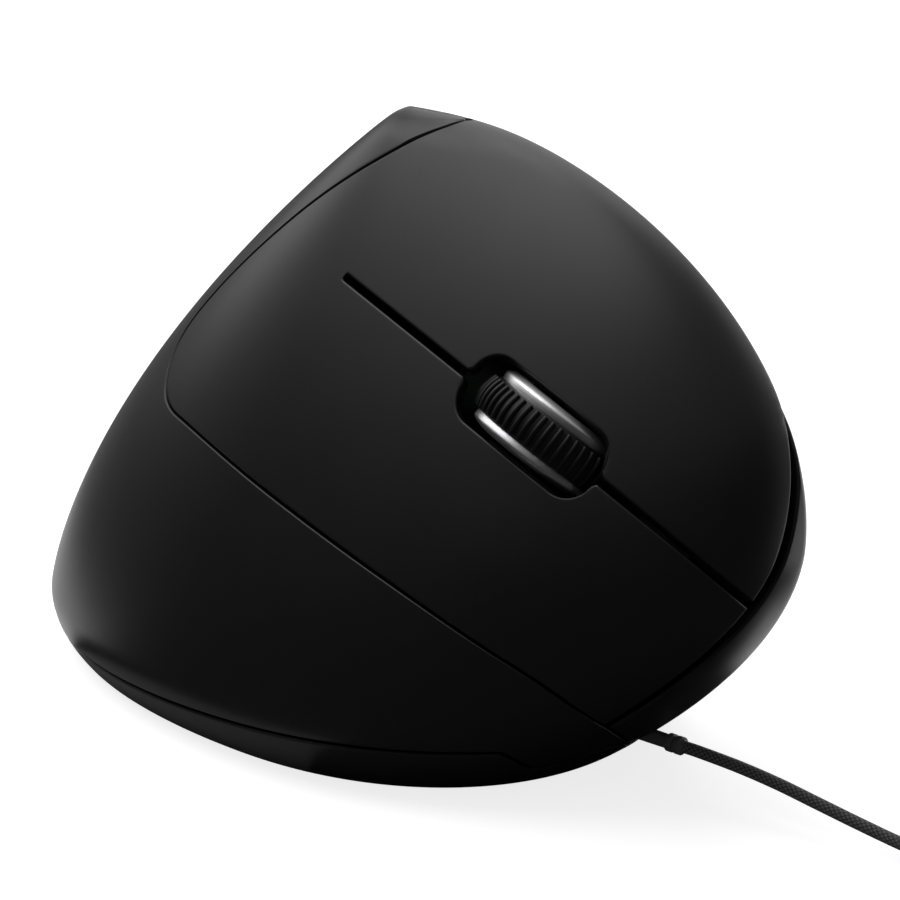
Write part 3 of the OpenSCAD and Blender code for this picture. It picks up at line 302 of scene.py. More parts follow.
def halve(low, high, test, steps=44):
    low, high = np.broadcast_arrays(np.asarray(low, float), np.asarray(high, float))
    low, high = low.copy(), high.copy()
    for _ in range(steps):
        mid = (low + high) / 2
        more = test(mid) > 0
        low, high = np.where(more, mid, low), np.where(more, high, mid)
    return (low + high) / 2


def lower_height(turn):
    def test(z):
        p = on_finger(skin(turn, z))
        return p[..., 0] + LOWER_FAN * p[..., 1] - LOWER_SEAM
    bow = LOWER_BOW * np.exp(-(turn / BOW_SPAN) ** 2) + LOWER_RISE * np.exp(-((turn - RISE_TURN) / RISE_SPAN) ** 2)
    return halve(np.full(np.shape(turn), 5.0), 60.0, test) + bow


def slit_height(turn):
    def test(z):
        p = on_finger(skin(turn, z))
        return p[..., 0] + SLIT_TIP * p[..., 2]
    return halve(np.full(np.shape(turn), 15.0), HEIGHT - 2, test)


def front_turn(height):
    def test(t):
        p = on_finger(skin(t, height))
        return p[..., 2] + CUT_TIP * p[..., 0] + CUT_DEPTH
    return halve(np.full(np.shape(height), 45.0), 200.0, test)


def flex_turn(height):
    return halve(np.full(np.shape(height), -90.0), 120.0,
                 lambda t: -FLEX_LINE - on_finger(skin(t, height))[..., 1])


def rear_turn(height):
    """The rear seam bows along the trailing edge, then runs up and forward over the shoulder to the crest."""
    d, r = height - REAR_BOW_HEIGHT, np.maximum(height - SHOULDER_HEIGHT, 0)
    plain = REAR_TURN + np.where(d < 0, *REAR_BOWS) * d * d
    start = skin(REAR_TURN + REAR_BOWS[1] * (SHOULDER_HEIGHT - REAR_BOW_HEIGHT) ** 2, SHOULDER_HEIGHT)[1]
    m = np.minimum(r, SHOULDER_SPAN)
    along = (start + SHOULDER_SLOPE * r + SHOULDER_BEND * m * (2 * r - m)
             + TIP_BEND * np.maximum(r - TIP_RISE, 0) ** 2)
    over = halve(np.full(np.shape(height), -90.0), 90.0, lambda t: along - skin(t, height)[..., 1])
    tip = np.clip((height - HEIGHT + CREST_SWEEP) / CREST_SWEEP, 0, 1)
    return np.where(r > 0, over + (CREST_TURN - 90) * tip, plain)


def seam_height(turn):
    """The base seam slopes up to the nose, dips in a tab beside it and falls to the cord outlet."""
    turn = np.asarray(turn, float)
    plain = BASE_SEAM + BASE_SLOPE * skin(turn, BASE_SEAM)[..., 1]
    step = np.clip((turn - TAB_TURNS[2]) / (TAB_TURNS[3] - TAB_TURNS[2]), 0, 1)
    fall = np.clip((turn - FALL_START) / FALL_SPAN, 0, 1) ** 3
    low = TAB_HEIGHT + (NOSE_SEAM - TAB_HEIGHT) * step + (OUTLET_SEAM - NOSE_SEAM) * fall
    begin = np.clip((turn - TAB_TURNS[0]) / (TAB_TURNS[1] - TAB_TURNS[0]), 0, 1)
    drop = begin * np.clip((FADE_END - turn) / FADE_SPAN, 0, 1)
    return plain + (low - plain) * drop


def pairs(turn, height):
    return np.stack(np.broadcast_arrays(np.asarray(turn, float), np.asarray(height, float)), -1)


def run_of(curve):
    """Distance along a seam, in mm on the surface."""
    p = skin(curve[:, 0], curve[:, 1])
    return np.concatenate([[0], np.cumsum(np.linalg.norm(np.diff(p, axis=0), axis=1))])


def even(curve, step):
    """The seam with its points a fixed step apart."""
    run = run_of(curve)
    at = np.linspace(0, run[-1], max(2, int(round(run[-1] / step)) + 1))
    return np.stack([np.interp(at, run, curve[:, k]) for k in (0, 1)], -1)


def sideways(curve, offset):
    """Moves a seam over the surface, to the left of its direction as seen from outside."""
    p = skin(curve[:, 0], curve[:, 1])
    way = unit(np.gradient(p, axis=0))
    target = p + np.cross(skin_normal(curve[:, 0], curve[:, 1]), way) * np.reshape(offset, (-1, 1))
    moved = curve.copy()
    for again in range(5):
        by_turn, by_height = slopes(moved[:, 0], moved[:, 1])
        push = target - skin(moved[:, 0], moved[:, 1])
        a, b, c = (by_turn ** 2).sum(1), (by_turn * by_height).sum(1), (by_height ** 2).sum(1)
        u, v = (by_turn * push).sum(1), (by_height * push).sum(1)
        det = np.maximum(a * c - b * b, 1e-9)
        step = np.stack([(c * u - b * v) / det, (a * v - b * u) / det], 1)
        moved += step * ((curve[:, 1:] < HEIGHT - FLAT_CREST) | (again == 0))
    return moved


def crossing(first, second):
    """Where two seams cross, as places along each and the point itself."""
    a, b = first[:-1, None], second[None, :-1]
    da, db = np.diff(first, axis=0)[:, None], np.diff(second, axis=0)[None]
    det = da[..., 0] * db[..., 1] - da[..., 1] * db[..., 0]
    det = np.where(np.abs(det) < 1e-12, 1e-12, det)
    gap = b - a
    s = (gap[..., 0] * db[..., 1] - gap[..., 1] * db[..., 0]) / det
    r = (gap[..., 0] * da[..., 1] - gap[..., 1] * da[..., 0]) / det
    hit = np.argwhere((s >= 0) & (s <= 1) & (r >= 0) & (r <= 1))
    return [(i + s[i, j], j + r[i, j], first[i] + s[i, j] * (first[i + 1] - first[i])) for i, j in hit]


def piece_of(curve, start, end):
    """The stretch of a seam between two places along it, turned round if it ends before it starts."""
    if end < start:
        return piece_of(curve, end, start)[::-1]
    at = np.concatenate([[start], np.arange(math.floor(start) + 1, math.ceil(end)), [end]])
    index = np.arange(len(curve))
    return np.stack([np.interp(at, index, curve[:, k]) for k in (0, 1)], -1)


def round_corner(curve, place, radius):
    """Rounds one corner of an even seam by averaging over its neighbourhood."""
    step = np.median(np.diff(run_of(curve)))
    span = int(round(radius / step))
    kernel = np.ones(2 * span + 1) / (2 * span + 1)
    wide = np.pad(curve, ((span, span), (0, 0)), mode="edge")
    soft = np.stack([np.convolve(wide[:, k], kernel, "valid") for k in (0, 1)], -1)
    share = np.clip((2.2 * span - np.abs(np.arange(len(curve)) - place)) / span, 0, 1)[:, None]
    return curve + (soft - curve) * share


rear_heights = np.concatenate([
    np.linspace(30, 74.5, 120), HEIGHT - 2.5 + 2.5 * np.linspace(0, 1, 90) ** 0.6])
rear_curve = pairs(rear_turn(rear_heights), rear_heights)
lower_turns = np.linspace(-70, 92, 260)
lower_curve = pairs(lower_turns, lower_height(lower_turns))
rear_at, lower_at, _ = crossing(rear_curve, lower_curve)[0]
rear_part = piece_of(rear_curve, len(rear_curve) - 1, rear_at)
lower_part = piece_of(lower_curve, lower_at, len(lower_curve) - 1)
corner_run = run_of(rear_part)[-1] / SEAM_STEP
corner_place = int(round(corner_run))
trailing = round_corner(even(np.concatenate([rear_part, lower_part[1:]]), SEAM_STEP), corner_run, REAR_CORNER)
front_heights = np.concatenate([np.linspace(8, 74, 200), np.linspace(74.2, HEIGHT, 40)])
front_curve = even(pairs(front_turn(front_heights), front_heights), SEAM_STEP)
flex_heights = np.concatenate([np.linspace(30, 74, 150), np.linspace(74.1, HEIGHT - 0.36, 60)])
flex_bend = FLEX_BEND * np.clip((flex_heights - HEIGHT + FLEX_BELOW) / FLEX_SPAN, 0, 1) ** 2
flex_curve = pairs(flex_turn(flex_heights) - flex_bend, flex_heights)
slit_turns = np.linspace(-20, 100, 300)
slit_curve = even(pairs(slit_turns, slit_height(slit_turns)), SLIT_STEP)
print("seams:", len(trailing), len(front_curve), len(slit_curve))

# %% [markdown]
# ## From four edges to a shell
# Each casing part is bounded by four seams. A patch blends those edges into a grid that lies on the
# body surface, so it needs no sculpting and meets its neighbours at an even gap. Real mouldings have
# softened edges: points near an outline sink a little, by the shape of a quarter circle. A second
# grid one wall thickness further in closes the part.

# %% Patch helpers
EDGE_RINGS = np.array([0.05, 0.12, 0.2, 0.3, 0.44, 0.62, 0.9, 1.3])


def shares(length, count, start=True, end=True):
    """Shares of an edge from 0 to 1, with extra ones close to the ends that are rounded."""
    rings = EDGE_RINGS / length
    inner = np.linspace(0, 1, count)
    keep = np.ones(count, bool)
    extra = [[0.0, 1.0]]
    if start:
        keep &= inner > rings[-1] * 1.4
        extra.append(rings)
    if end:
        keep &= inner < 1 - rings[-1] * 1.4
        extra.append(1 - rings)
    return np.unique(np.concatenate(extra + [inner[keep]]))


def at_shares(curve, where):
    run = run_of(curve)
    return np.stack([np.interp(np.asarray(where) * run[-1], run, curve[:, k]) for k in (0, 1)], -1)


def patch(bottom, right, top, left, us, vs):
    """A grid of turns and heights blended from four edges, bottom row first."""
    b, t, l, r = at_shares(bottom, us), at_shares(top, us), at_shares(left, vs), at_shares(right, vs)
    u, v = us[None, :, None], vs[:, None, None]
    corners = (1 - v) * ((1 - u) * b[0] + u * b[-1]) + v * ((1 - u) * t[0] + u * t[-1])
    grid = (1 - v) * b[None] + v * t[None] + (1 - u) * l[:, None] + u * r[:, None] - corners
    grid[..., 1] = np.minimum(grid[..., 1], HEIGHT)
    return grid


def distance_to(points, line):
    """Distance of surface points from a line of points, each the nearest over its segments."""
    a, d = line[:-1], np.diff(line, axis=0)
    size = np.maximum((d * d).sum(1), 1e-12)
    best = np.full(len(points), 1e9)
    for start in range(0, len(points), 4000):
        p = points[start:start + 4000, None]
        s = np.clip(((p - a) * d).sum(-1) / size, 0, 1)
        best[start:start + 4000] = np.linalg.norm(p - a - s[..., None] * d, axis=-1).min(1)
    return best


def sink_of(points, rounded):
    """How far points sink under the surface close to rounded edges."""
    sink = np.zeros(len(points))
    for curve, radius in rounded:
        line = skin(curve[:, 0], curve[:, 1])
        d = np.minimum(distance_to(points, line), radius)
        sink = np.maximum(sink, radius - np.sqrt(np.maximum(0, radius ** 2 - (radius - d) ** 2)))
    return sink


def shell_mesh(cells, rounded, proud=0.0, wall=WALL, holes=None):
    """Points and faces of a closed shell over a grid of cells."""
    rows, cols = cells.shape[:2]
    flat = cells.reshape(-1, 2)
    outer = skin(flat[:, 0], flat[:, 1])
    normals = skin_normal(flat[:, 0], flat[:, 1])
    outer = outer + normals * (proud - sink_of(outer, rounded))[:, None]
    inner = skin(flat[:, 0], flat[:, 1], wall)
    count = rows * cols
    j, i = np.meshgrid(np.arange(rows - 1), np.arange(cols - 1), indexing="ij")
    open_cells = np.zeros((rows - 1, cols - 1), bool) if holes is None else holes
    j, i = j[~open_cells], i[~open_cells]
    a, b, c, d = j * cols + i, j * cols + i + 1, (j + 1) * cols + i + 1, (j + 1) * cols + i
    top = np.stack([a, b, c, d], 1)
    sides = np.concatenate([np.stack(s, 1) for s in ((a, b), (b, c), (c, d), (d, a))])
    lookup = set(map(tuple, sides))
    rim = np.array([s for s in map(tuple, sides) if (s[1], s[0]) not in lookup])
    walls = np.stack([rim[:, 1], rim[:, 0], rim[:, 0] + count, rim[:, 1] + count], 1)
    return np.concatenate([outer, inner]), np.concatenate([top, top[:, ::-1] + count, walls])


def joined(blocks):
    """Several meshes in one list of points and faces."""
    points, faces, shift = [], [], 0
    for p, f in blocks:
        points.append(p)
        faces += [tuple(int(k) + shift for k in face) for face in f]
        shift += len(p)
    return np.concatenate(points), faces

# %% [markdown]
# ## Finger buttons
# The two finger buttons and the panel behind them are one moulding on the real mouse. It bends at a
# hidden line, so the index and middle buttons are separate leaves. The seam round them and the slit
# between them are curves from above; the wheel slot bites a rounded rectangle out of both leaves.

# %% Outlines of the buttons
SLOT_LENGTH, SLOT_WIDTH, SLOT_CORNER = 22.4, 9.6, 3.7
CREST_ROOM, ROOM_START, ROOM_SPAN = 0.45, 62, 24
GAP_HEIGHTS, GAP_SHARES = (18, 42, 58, 70), (1.0, 0.6, 0.6, 1.0)


def chart(x, y):
    """Turn and height of the surface point above a spot on the finger face."""
    t, z = np.full(np.shape(x), WHEEL_TURN), np.full(np.shape(x), WHEEL_HEIGHT)
    for _ in range(12):
        p = on_finger(skin(t, z))
        a = (on_finger(skin(t + 0.1, z)) - p) / 0.1
        b = (on_finger(skin(t, z + 0.1)) - p) / 0.1
        det = a[..., 0] * b[..., 1] - a[..., 1] * b[..., 0]
        ex, ey = x - p[..., 0], y - p[..., 1]
        t = t + (ex * b[..., 1] - ey * b[..., 0]) / det
        z = z + (a[..., 0] * ey - a[..., 1] * ex) / det
    return np.stack([t, z], -1)


def slot_bite(side):
    """Half of the slot outline, from its rear end to its front end."""
    arc = np.radians(np.linspace(0, 90, 16))
    w, l = SLOT_WIDTH / 2 - SLOT_CORNER, SLOT_LENGTH / 2 - SLOT_CORNER
    rear = np.stack([w + SLOT_CORNER * np.sin(arc), -l - SLOT_CORNER * np.cos(arc)], 1)
    end = -SLOT_LENGTH / 2
    mouth = np.array([[SLIT_WIDTH / 2, end - 0.5], [SLIT_WIDTH / 2 + 0.5, end - 0.12]])
    flank = np.stack([np.full(40, SLOT_WIDTH / 2), np.linspace(-l, 0, 42)[1:-1]], 1)
    half = np.concatenate([mouth, rear, flank])
    whole = np.concatenate([half, [[SLOT_WIDTH / 2, 0]], half[::-1] * [1, -1]])
    return chart(side * whole[:, 0], whole[:, 1])


def slit_side(side):
    """The slit's edge on one leaf, round at its rear end, with the slot's bite in it."""
    rear_end = crossing(slit_curve, flex_curve)[0][0]
    gone = np.clip((np.arange(len(slit_curve)) - rear_end) * SLIT_STEP / (SLIT_WIDTH / 2), 0, 1)
    edge = sideways(slit_curve, -side * SLIT_WIDTH / 2 * np.sqrt(1 - (1 - gone) ** 2))
    bite = slot_bite(side)
    before = edge[edge[:, 0] < bite[0, 0] - 0.2]
    after = edge[edge[:, 0] > bite[-1, 0] + 0.2]
    return np.concatenate([before, bite, after])


crest_room = CREST_ROOM * np.clip((trailing[:, 0] - ROOM_START) / ROOM_SPAN, 0, 1)
button_trail = sideways(trailing, SEAM_GAP / 2 + crest_room)
shell_trail = sideways(trailing, -SEAM_GAP / 2)
gap_share = np.interp(front_curve[:, 1], GAP_HEIGHTS, GAP_SHARES)
button_front = sideways(front_curve, FRONT_GAP / 2 * gap_share)
shell_front = sideways(front_curve, -FRONT_GAP / 2)
index_slit, middle_slit = slit_side(-1), slit_side(1)

trail_flex = crossing(button_trail, flex_curve)
crest_meet, lower_meet = trail_flex[-2:]
crest_front = crossing(button_trail, button_front)
index_flex, middle_flex = crossing(index_slit, flex_curve)[0], crossing(middle_slit, flex_curve)[0]
index_nose, middle_nose = crossing(index_slit, button_front)[0], crossing(middle_slit, button_front)[0]
print("trail meets flex line at", np.round([m[2] for m in trail_flex], 2).tolist())
print("trail meets front gap at", np.round([m[2] for m in crest_front], 2).tolist())

# %% Index button, middle button and panel
crest_front, low_front = crest_front[0], crest_front[-1]
index_edges = (
    piece_of(index_slit, index_flex[0], index_nose[0]),
    piece_of(button_front, index_nose[1], crest_front[1]),
    piece_of(button_trail, crest_meet[0], crest_front[0]),
    piece_of(flex_curve, index_flex[1], crest_meet[1]),
)
middle_edges = (
    piece_of(button_trail, lower_meet[0], low_front[0]),
    piece_of(button_front, low_front[1], middle_nose[1]),
    piece_of(middle_slit, middle_flex[0], middle_nose[0]),
    piece_of(flex_curve, lower_meet[1], middle_flex[1]),
)
PANEL_TOP_POINTS = 24
panel_top = crest_meet[0] + PANEL_TOP_POINTS
panel_edges = (
    piece_of(button_trail, corner_place, lower_meet[0]),
    piece_of(flex_curve, lower_meet[1], crest_meet[1]),
    piece_of(button_trail, panel_top, crest_meet[0]),
    piece_of(button_trail, corner_place, panel_top),
)
EDGE_SOFT, SLIT_SOFT, NOSE_SOFT = 0.2, 0.25, 0.35

for name, body, edges, radii, us, vs in (
    ("index_button", "index_key", index_edges, (SLIT_SOFT, NOSE_SOFT, EDGE_SOFT, 0),
     shares(90, 190), shares(45, 64)),
    ("middle_button", "middle_key", middle_edges, (EDGE_SOFT, NOSE_SOFT, SLIT_SOFT, 0),
     shares(80, 190), shares(26, 40)),
    ("button_panel", "mouse_body", panel_edges, (EDGE_SOFT, 0, EDGE_SOFT, EDGE_SOFT),
     shares(30, 44, end=False), shares(55, 64)),
):
    rounded = [(edge, radius) for edge, radius in zip(edges, radii) if radius]
    add_piece(f"{name}_skin", *shell_mesh(patch(*edges, us, vs), rounded), soft_black, body, [name])

# %% [markdown]
# ## Finger shell
# The outer side of the casing lies below and behind the buttons. It is an L on the surface, so it is
# made of two patches that share the line from the button seam's rear corner down to the base.

# %% Finger shell
PART_TURN, PARTING_GAP, KNEE_TURN = -100.0, 0.7, 4
CORD_X, OUTLET_Z, ARCH_HALF = -0.888831, 5.2, 1.28
nose_turns = np.linspace(80, 100, 401)
nose_x = skin(nose_turns, OUTLET_Z)[:, 0]
ARCH_START, ARCH_END = np.interp([-CORD_X - ARCH_HALF, -CORD_X + ARCH_HALF], -nose_x, nose_turns)
PARTING_TURN = ARCH_START - PARTING_GAP


def line_between(start, end, count=60):
    return np.linspace(start, end, count)


def seam_line(start, end, count=700):
    turns = np.linspace(start, end, count)
    return pairs(turns, seam_height(turns) + SEAM_GAP / 2)


low_corner = crossing(shell_trail, sideways(front_curve, SEAM_GAP - FRONT_GAP / 2))[-1]
shell_corner = shell_trail[corner_place]
knee = shell_corner[0] - KNEE_TURN
knee_line = line_between([knee, seam_height(knee) + SEAM_GAP / 2], shell_corner)
lower_reach = piece_of(shell_trail, corner_place, low_corner[0])
rear_reach = piece_of(shell_trail, corner_place, 0)
nose_line = line_between([PARTING_TURN, seam_height(PARTING_TURN) + SEAM_GAP / 2], low_corner[2])
low_edges = (seam_line(knee, PARTING_TURN), nose_line, lower_reach, knee_line)
tall_right = np.concatenate([knee_line, rear_reach[1:]])
tall_top = pairs(np.linspace(PART_TURN, shell_trail[0, 0], 300), HEIGHT)
tall_left = pairs(PART_TURN, np.concatenate([
    np.linspace(seam_height(PART_TURN) + SEAM_GAP / 2, 74, 160), np.linspace(74.1, HEIGHT, 60)]))
tall_edges = (seam_line(PART_TURN, knee), tall_right, tall_top, tall_left)

knee_run, tall_run = run_of(knee_line)[-1], run_of(tall_right)[-1]
low_rows = shares(knee_run, 46)
tall_rows = np.unique(np.concatenate([
    low_rows * knee_run / tall_run,
    (knee_run + shares(tall_run - knee_run, 80) * (tall_run - knee_run)) / tall_run]))
soft_edges = [(low_edges[0], EDGE_SOFT), (lower_reach, EDGE_SOFT), (rear_reach, EDGE_SOFT),
              (tall_edges[0], EDGE_SOFT), (nose_line, EDGE_SOFT)]
add_piece(
    "finger_shell_skin",
    *joined([
        shell_mesh(patch(*low_edges, shares(110, 190, start=False), low_rows), soft_edges),
        shell_mesh(patch(*tall_edges, shares(60, 90, start=False), tall_rows), soft_edges)]),
    soft_black, "mouse_body", ["finger_shell"])

# %% [markdown]
# ## Thumb shell
# The far side of the casing is a hollow flare for the thumb with two buttons in it. Its rows keep
# their height and its columns keep their turn behind the front gap, so the two button windows fall
# on whole cells and can be left open.

# %% Thumb shell and its buttons
FORWARD_TURNS, BACK_TURNS, THUMB_ROWS = (164.0, 179.0), (182.0, 203.0), (40.0, 48.0)
THUMB_START, THUMB_GAP, THUMB_PROUD, THUMB_DROP = 154.0, 0.5, 0.8, 0.35
WINDOW_SOFT, KEY_SOFT, TURN_PER_MM, CREST_ZONE = 0.4, 1.3, 1.25, 3.0
FLANGE_REACH, FLANGE_INNER, FLANGE_DEPTHS, RIB_DEPTHS = 1.1, 0.75, (1.9, 2.1), (1.5, 2.0)
WINDOW_RINGS = np.array([0.06, 0.14, 0.26, 0.42])
KEY_RINGS = np.concatenate([WINDOW_RINGS, [0.6, 0.8, 1.0, 1.2]])


def stretch(start, end, count, rings=WINDOW_RINGS, low=True, high=True):
    """Values from start to end, with extra ones near the ends that are rounded."""
    extra = ([start + rings] if low else []) + ([end - rings] if high else [])
    return np.unique(np.concatenate([np.linspace(start, end, count)] + extra))


corner_height = low_corner[2][1]
thumb_turns = np.unique(np.concatenate([
    stretch(THUMB_START, FORWARD_TURNS[0], 10, low=False), stretch(*FORWARD_TURNS, 12),
    stretch(FORWARD_TURNS[1], BACK_TURNS[0], 5), stretch(*BACK_TURNS, 16),
    stretch(BACK_TURNS[1], 360 + PART_TURN - 0.3, 40, high=False)]))
thumb_heights = np.unique(np.concatenate([
    stretch(corner_height, THUMB_ROWS[0], 26, low=False), stretch(*THUMB_ROWS, 10),
    stretch(THUMB_ROWS[1], HEIGHT - CREST_ZONE, 26, high=False),
    HEIGHT - CREST_ZONE * np.linspace(1, 0, 26) ** 1.6]))
arch_columns = np.append(np.linspace(ARCH_START + 0.01, ARCH_END - 0.01, 41), ARCH_END + 0.02)
front_shares = np.unique(np.concatenate([
    shares(60, 46, end=False), (arch_columns - ARCH_START) / (THUMB_START - ARCH_START)]))


def thumb_row(first, height):
    turns = np.concatenate([first + (THUMB_START - first) * front_shares, thumb_turns[1:]])
    return pairs(turns, height(turns) if callable(height) else height)


order = np.argsort(shell_front[:, 1])
first_turns = np.interp(
    np.minimum(thumb_heights, HEIGHT - CREST_ZONE), shell_front[order, 1], shell_front[order, 0])
low_shares = shares(corner_height - OUTLET_SEAM, 16, end=False)[:-1]
low_firsts = ARCH_START + (first_turns[0] - ARCH_START) * low_shares
floor_line = thumb_row(ARCH_START, lambda t: seam_height(t) + SEAM_GAP / 2)
from_cord = skin(floor_line[:, 0], OUTLET_Z)[:, 0] - CORD_X
under_arch = (floor_line[:, 0] > ARCH_START) & (floor_line[:, 0] < ARCH_END)
arch_rise = OUTLET_Z + np.sqrt(np.maximum(ARCH_HALF ** 2 - from_cord ** 2, 0))
floor_line[:, 1] = np.where(under_arch, arch_rise, floor_line[:, 1])
thumb_cells = np.stack([
    thumb_row(first, lambda t, s=s: (1 - s) * floor_line[:, 1] + s * corner_height)
    for first, s in zip(low_firsts, low_shares)
] + [thumb_row(first, z) for first, z in zip(first_turns, thumb_heights)])
window_row = thumb_cells[np.argmin(np.abs(thumb_cells[:, -1, 1] - THUMB_ROWS[0])), :, 0]
middle_turn = (window_row[:-1] + window_row[1:]) / 2
middle_rise = (thumb_cells[:-1, -1, 1] + thumb_cells[1:, -1, 1]) / 2
windows = [(middle_turn > a) & (middle_turn < b) for a, b in (FORWARD_TURNS, BACK_TURNS)]
in_rows = (middle_rise > THUMB_ROWS[0]) & (middle_rise < THUMB_ROWS[1])
holes = in_rows[:, None] & (windows[0] | windows[1])[None]


def window_outline(turns, gap_turn=0.0, gap_low=0.0, gap_high=0.0):
    t0, t1 = turns[0] + gap_turn, turns[1] - gap_turn
    z0, z1 = THUMB_ROWS[0] + gap_low, THUMB_ROWS[1] - gap_high
    corners = [[t0, z0], [t1, z0], [t1, z1], [t0, z1], [t0, z0]]
    return np.concatenate([line_between(a, b, 20) for a, b in zip(corners, corners[1:])])


thumb_edges = [(thumb_cells[0], EDGE_SOFT), (thumb_cells[:, 0], WINDOW_SOFT)]
thumb_edges += [(window_outline(turns), WINDOW_SOFT) for turns in (FORWARD_TURNS, BACK_TURNS)]
add_piece("thumb_shell_skin", *shell_mesh(thumb_cells, thumb_edges, holes=holes),
          soft_black, "mouse_body", ["thumb_shell"])


def frame_mesh(turns, rows, outer, inner, depths):
    """A frame behind a window, from outer mm beyond its edges to inner mm inside them."""
    def ends(span, scale):
        return np.concatenate([np.linspace(span[0] - scale * outer, span[0] + scale * inner, 4),
                               np.linspace(span[1] - scale * inner, span[1] + scale * outer, 4)])

    columns, heights = ends(turns, TURN_PER_MM), ends(rows, 1)
    fine = np.unique(np.concatenate([columns, np.linspace(columns[3], columns[4], 16)]))
    cells = np.stack([pairs(fine, z) for z in heights])
    inside = (fine[:-1] > columns[3] - 0.01) & (fine[1:] < columns[4] + 0.01)
    window = (np.arange(7) == 3)[:, None] & inside[None]
    return shell_mesh(cells, [], -depths[0], depths[1], window)


for name, turns, columns in (("forward", FORWARD_TURNS, 24), ("back", BACK_TURNS, 32)):
    inset = THUMB_GAP * TURN_PER_MM
    key_rows = (THUMB_ROWS[0], THUMB_ROWS[1] - THUMB_DROP)
    flange = frame_mesh(turns, THUMB_ROWS, FLANGE_REACH, FLANGE_INNER, FLANGE_DEPTHS)
    rib = frame_mesh(turns, key_rows, -THUMB_GAP - 0.1, FLANGE_INNER, RIB_DEPTHS)
    key_turns = stretch(turns[0] + inset, turns[1] - inset, columns, KEY_RINGS * TURN_PER_MM)
    cells = np.stack([
        pairs(key_turns, z) for z in stretch(key_rows[0] + THUMB_GAP, key_rows[1] - THUMB_GAP, 12, KEY_RINGS)])
    edges = [(window_outline(turns, inset, THUMB_GAP, THUMB_GAP + THUMB_DROP), KEY_SOFT)]
    add_piece(f"{name}_button_skin", *joined([shell_mesh(cells, edges, proud=THUMB_PROUD), flange, rib]),
              soft_black, f"{name}_key", [f"{name}_button"])

# %% [markdown]
# ## Base
# The base is a shallow tray: a flat floor, a wall that follows the body, a ledge under the seam and
# an inner lip that the shells clip over. All of that is one stack of closed rings. The holes for the
# screws and the sensor window are cut afterwards with a boolean, as a drill would.

# %% Base shell
FOOT, FLOOR_TOP, BASE_SOFT = 0.6, 2.6, 0.45
LIP_RISE, LIP_OUTER, LIP_INNER, LIP_BREAK = 2.0, 2.3, 3.2, (76, 104)
POSTS, POST_HOLES = ((8, 8), (9, 28), (-8, 16)), ((2.25, 0, 1.6), (1.3, 0.2, 4))
SENSOR, WINDOW = (-8, -12), (7, 9)
BOARD_HOLES = ((-17, -30), (-1, -30), (-17, 6))
STANDOFF = ((2.2, 2.5), (2.2, 6.0), (2.0, 6.2), (1.15, 6.2), (1.15, 2.7))


def ring_stack(rings, low_pole, high_pole):
    """Closed solid from a stack of rings of equal length, with a pole at each end."""
    count, last = len(rings[0]), (len(rings) - 1) * len(rings[0])
    k = np.arange(count)
    after = (k + 1) % count
    faces = []
    for low in range(0, last, count):
        faces += np.stack([low + k, low + after, low + count + after, low + count + k], 1).tolist()
    pole = np.full(count, last + count)
    faces += np.stack([pole, after, k], 1).tolist()
    faces += np.stack([pole + 1, last + k, last + after], 1).tolist()
    return np.concatenate(rings + [[low_pole, high_pole]]), faces


def closed_sweep(rings):
    """Points and faces of rings of equal length that close on the first ring again."""
    total, count = len(rings), len(rings[0])
    j, k = np.meshgrid(np.arange(total), np.arange(count), indexing="ij")
    near, far, after = j * count, (j + 1) % total * count, (k + 1) % count
    faces = np.stack([near + k, far + k, far + after, near + after], -1).reshape(-1, 4)
    return np.concatenate(rings), faces


def level(points, height):
    return np.concatenate([points[:, :2], np.broadcast_to(height, (len(points),))[:, None]], 1)


def circle(radius, sides):
    turn = np.linspace(0, 2 * math.pi, sides, endpoint=False)
    return radius * np.stack([np.cos(turn), np.sin(turn)], 1)


def rectangle(width, depth):
    return np.array([[-1, -1], [1, -1], [1, 1], [-1, 1]]) * [width / 2, depth / 2]


def prism(x, y, outline, low, high):
    ring = outline + [x, y]
    return ring_stack([level(ring, low), level(ring, high)], [x, y, low], [x, y, high])


def loose_object(name, points, faces):
    mesh = bpy.data.meshes.new(name)
    mesh.from_pydata((np.asarray(points) * MM).tolist(), [], [tuple(map(int, f)) for f in faces])
    made = bpy.data.objects.new(name, mesh)
    bpy.context.scene.collection.objects.link(made)
    return made


def applied(made):
    """The object's mesh with its modifiers applied, and the modifiers gone."""
    graph = bpy.context.evaluated_depsgraph_get()
    mesh = bpy.data.meshes.new_from_object(made.evaluated_get(graph))
    made.modifiers.clear()
    old = made.data
    made.data = mesh
    bpy.data.meshes.remove(old)
    return mesh


def cut_out(piece, solids):
    """Cuts solids out of a piece, one after another."""
    for solid in solids:
        tool = loose_object("cutter", *solid)
        cut = piece.modifiers.new("cut", "BOOLEAN")
        cut.operation, cut.solver, cut.object = "DIFFERENCE", "EXACT", tool
        applied(piece)
        bpy.data.objects.remove(tool)


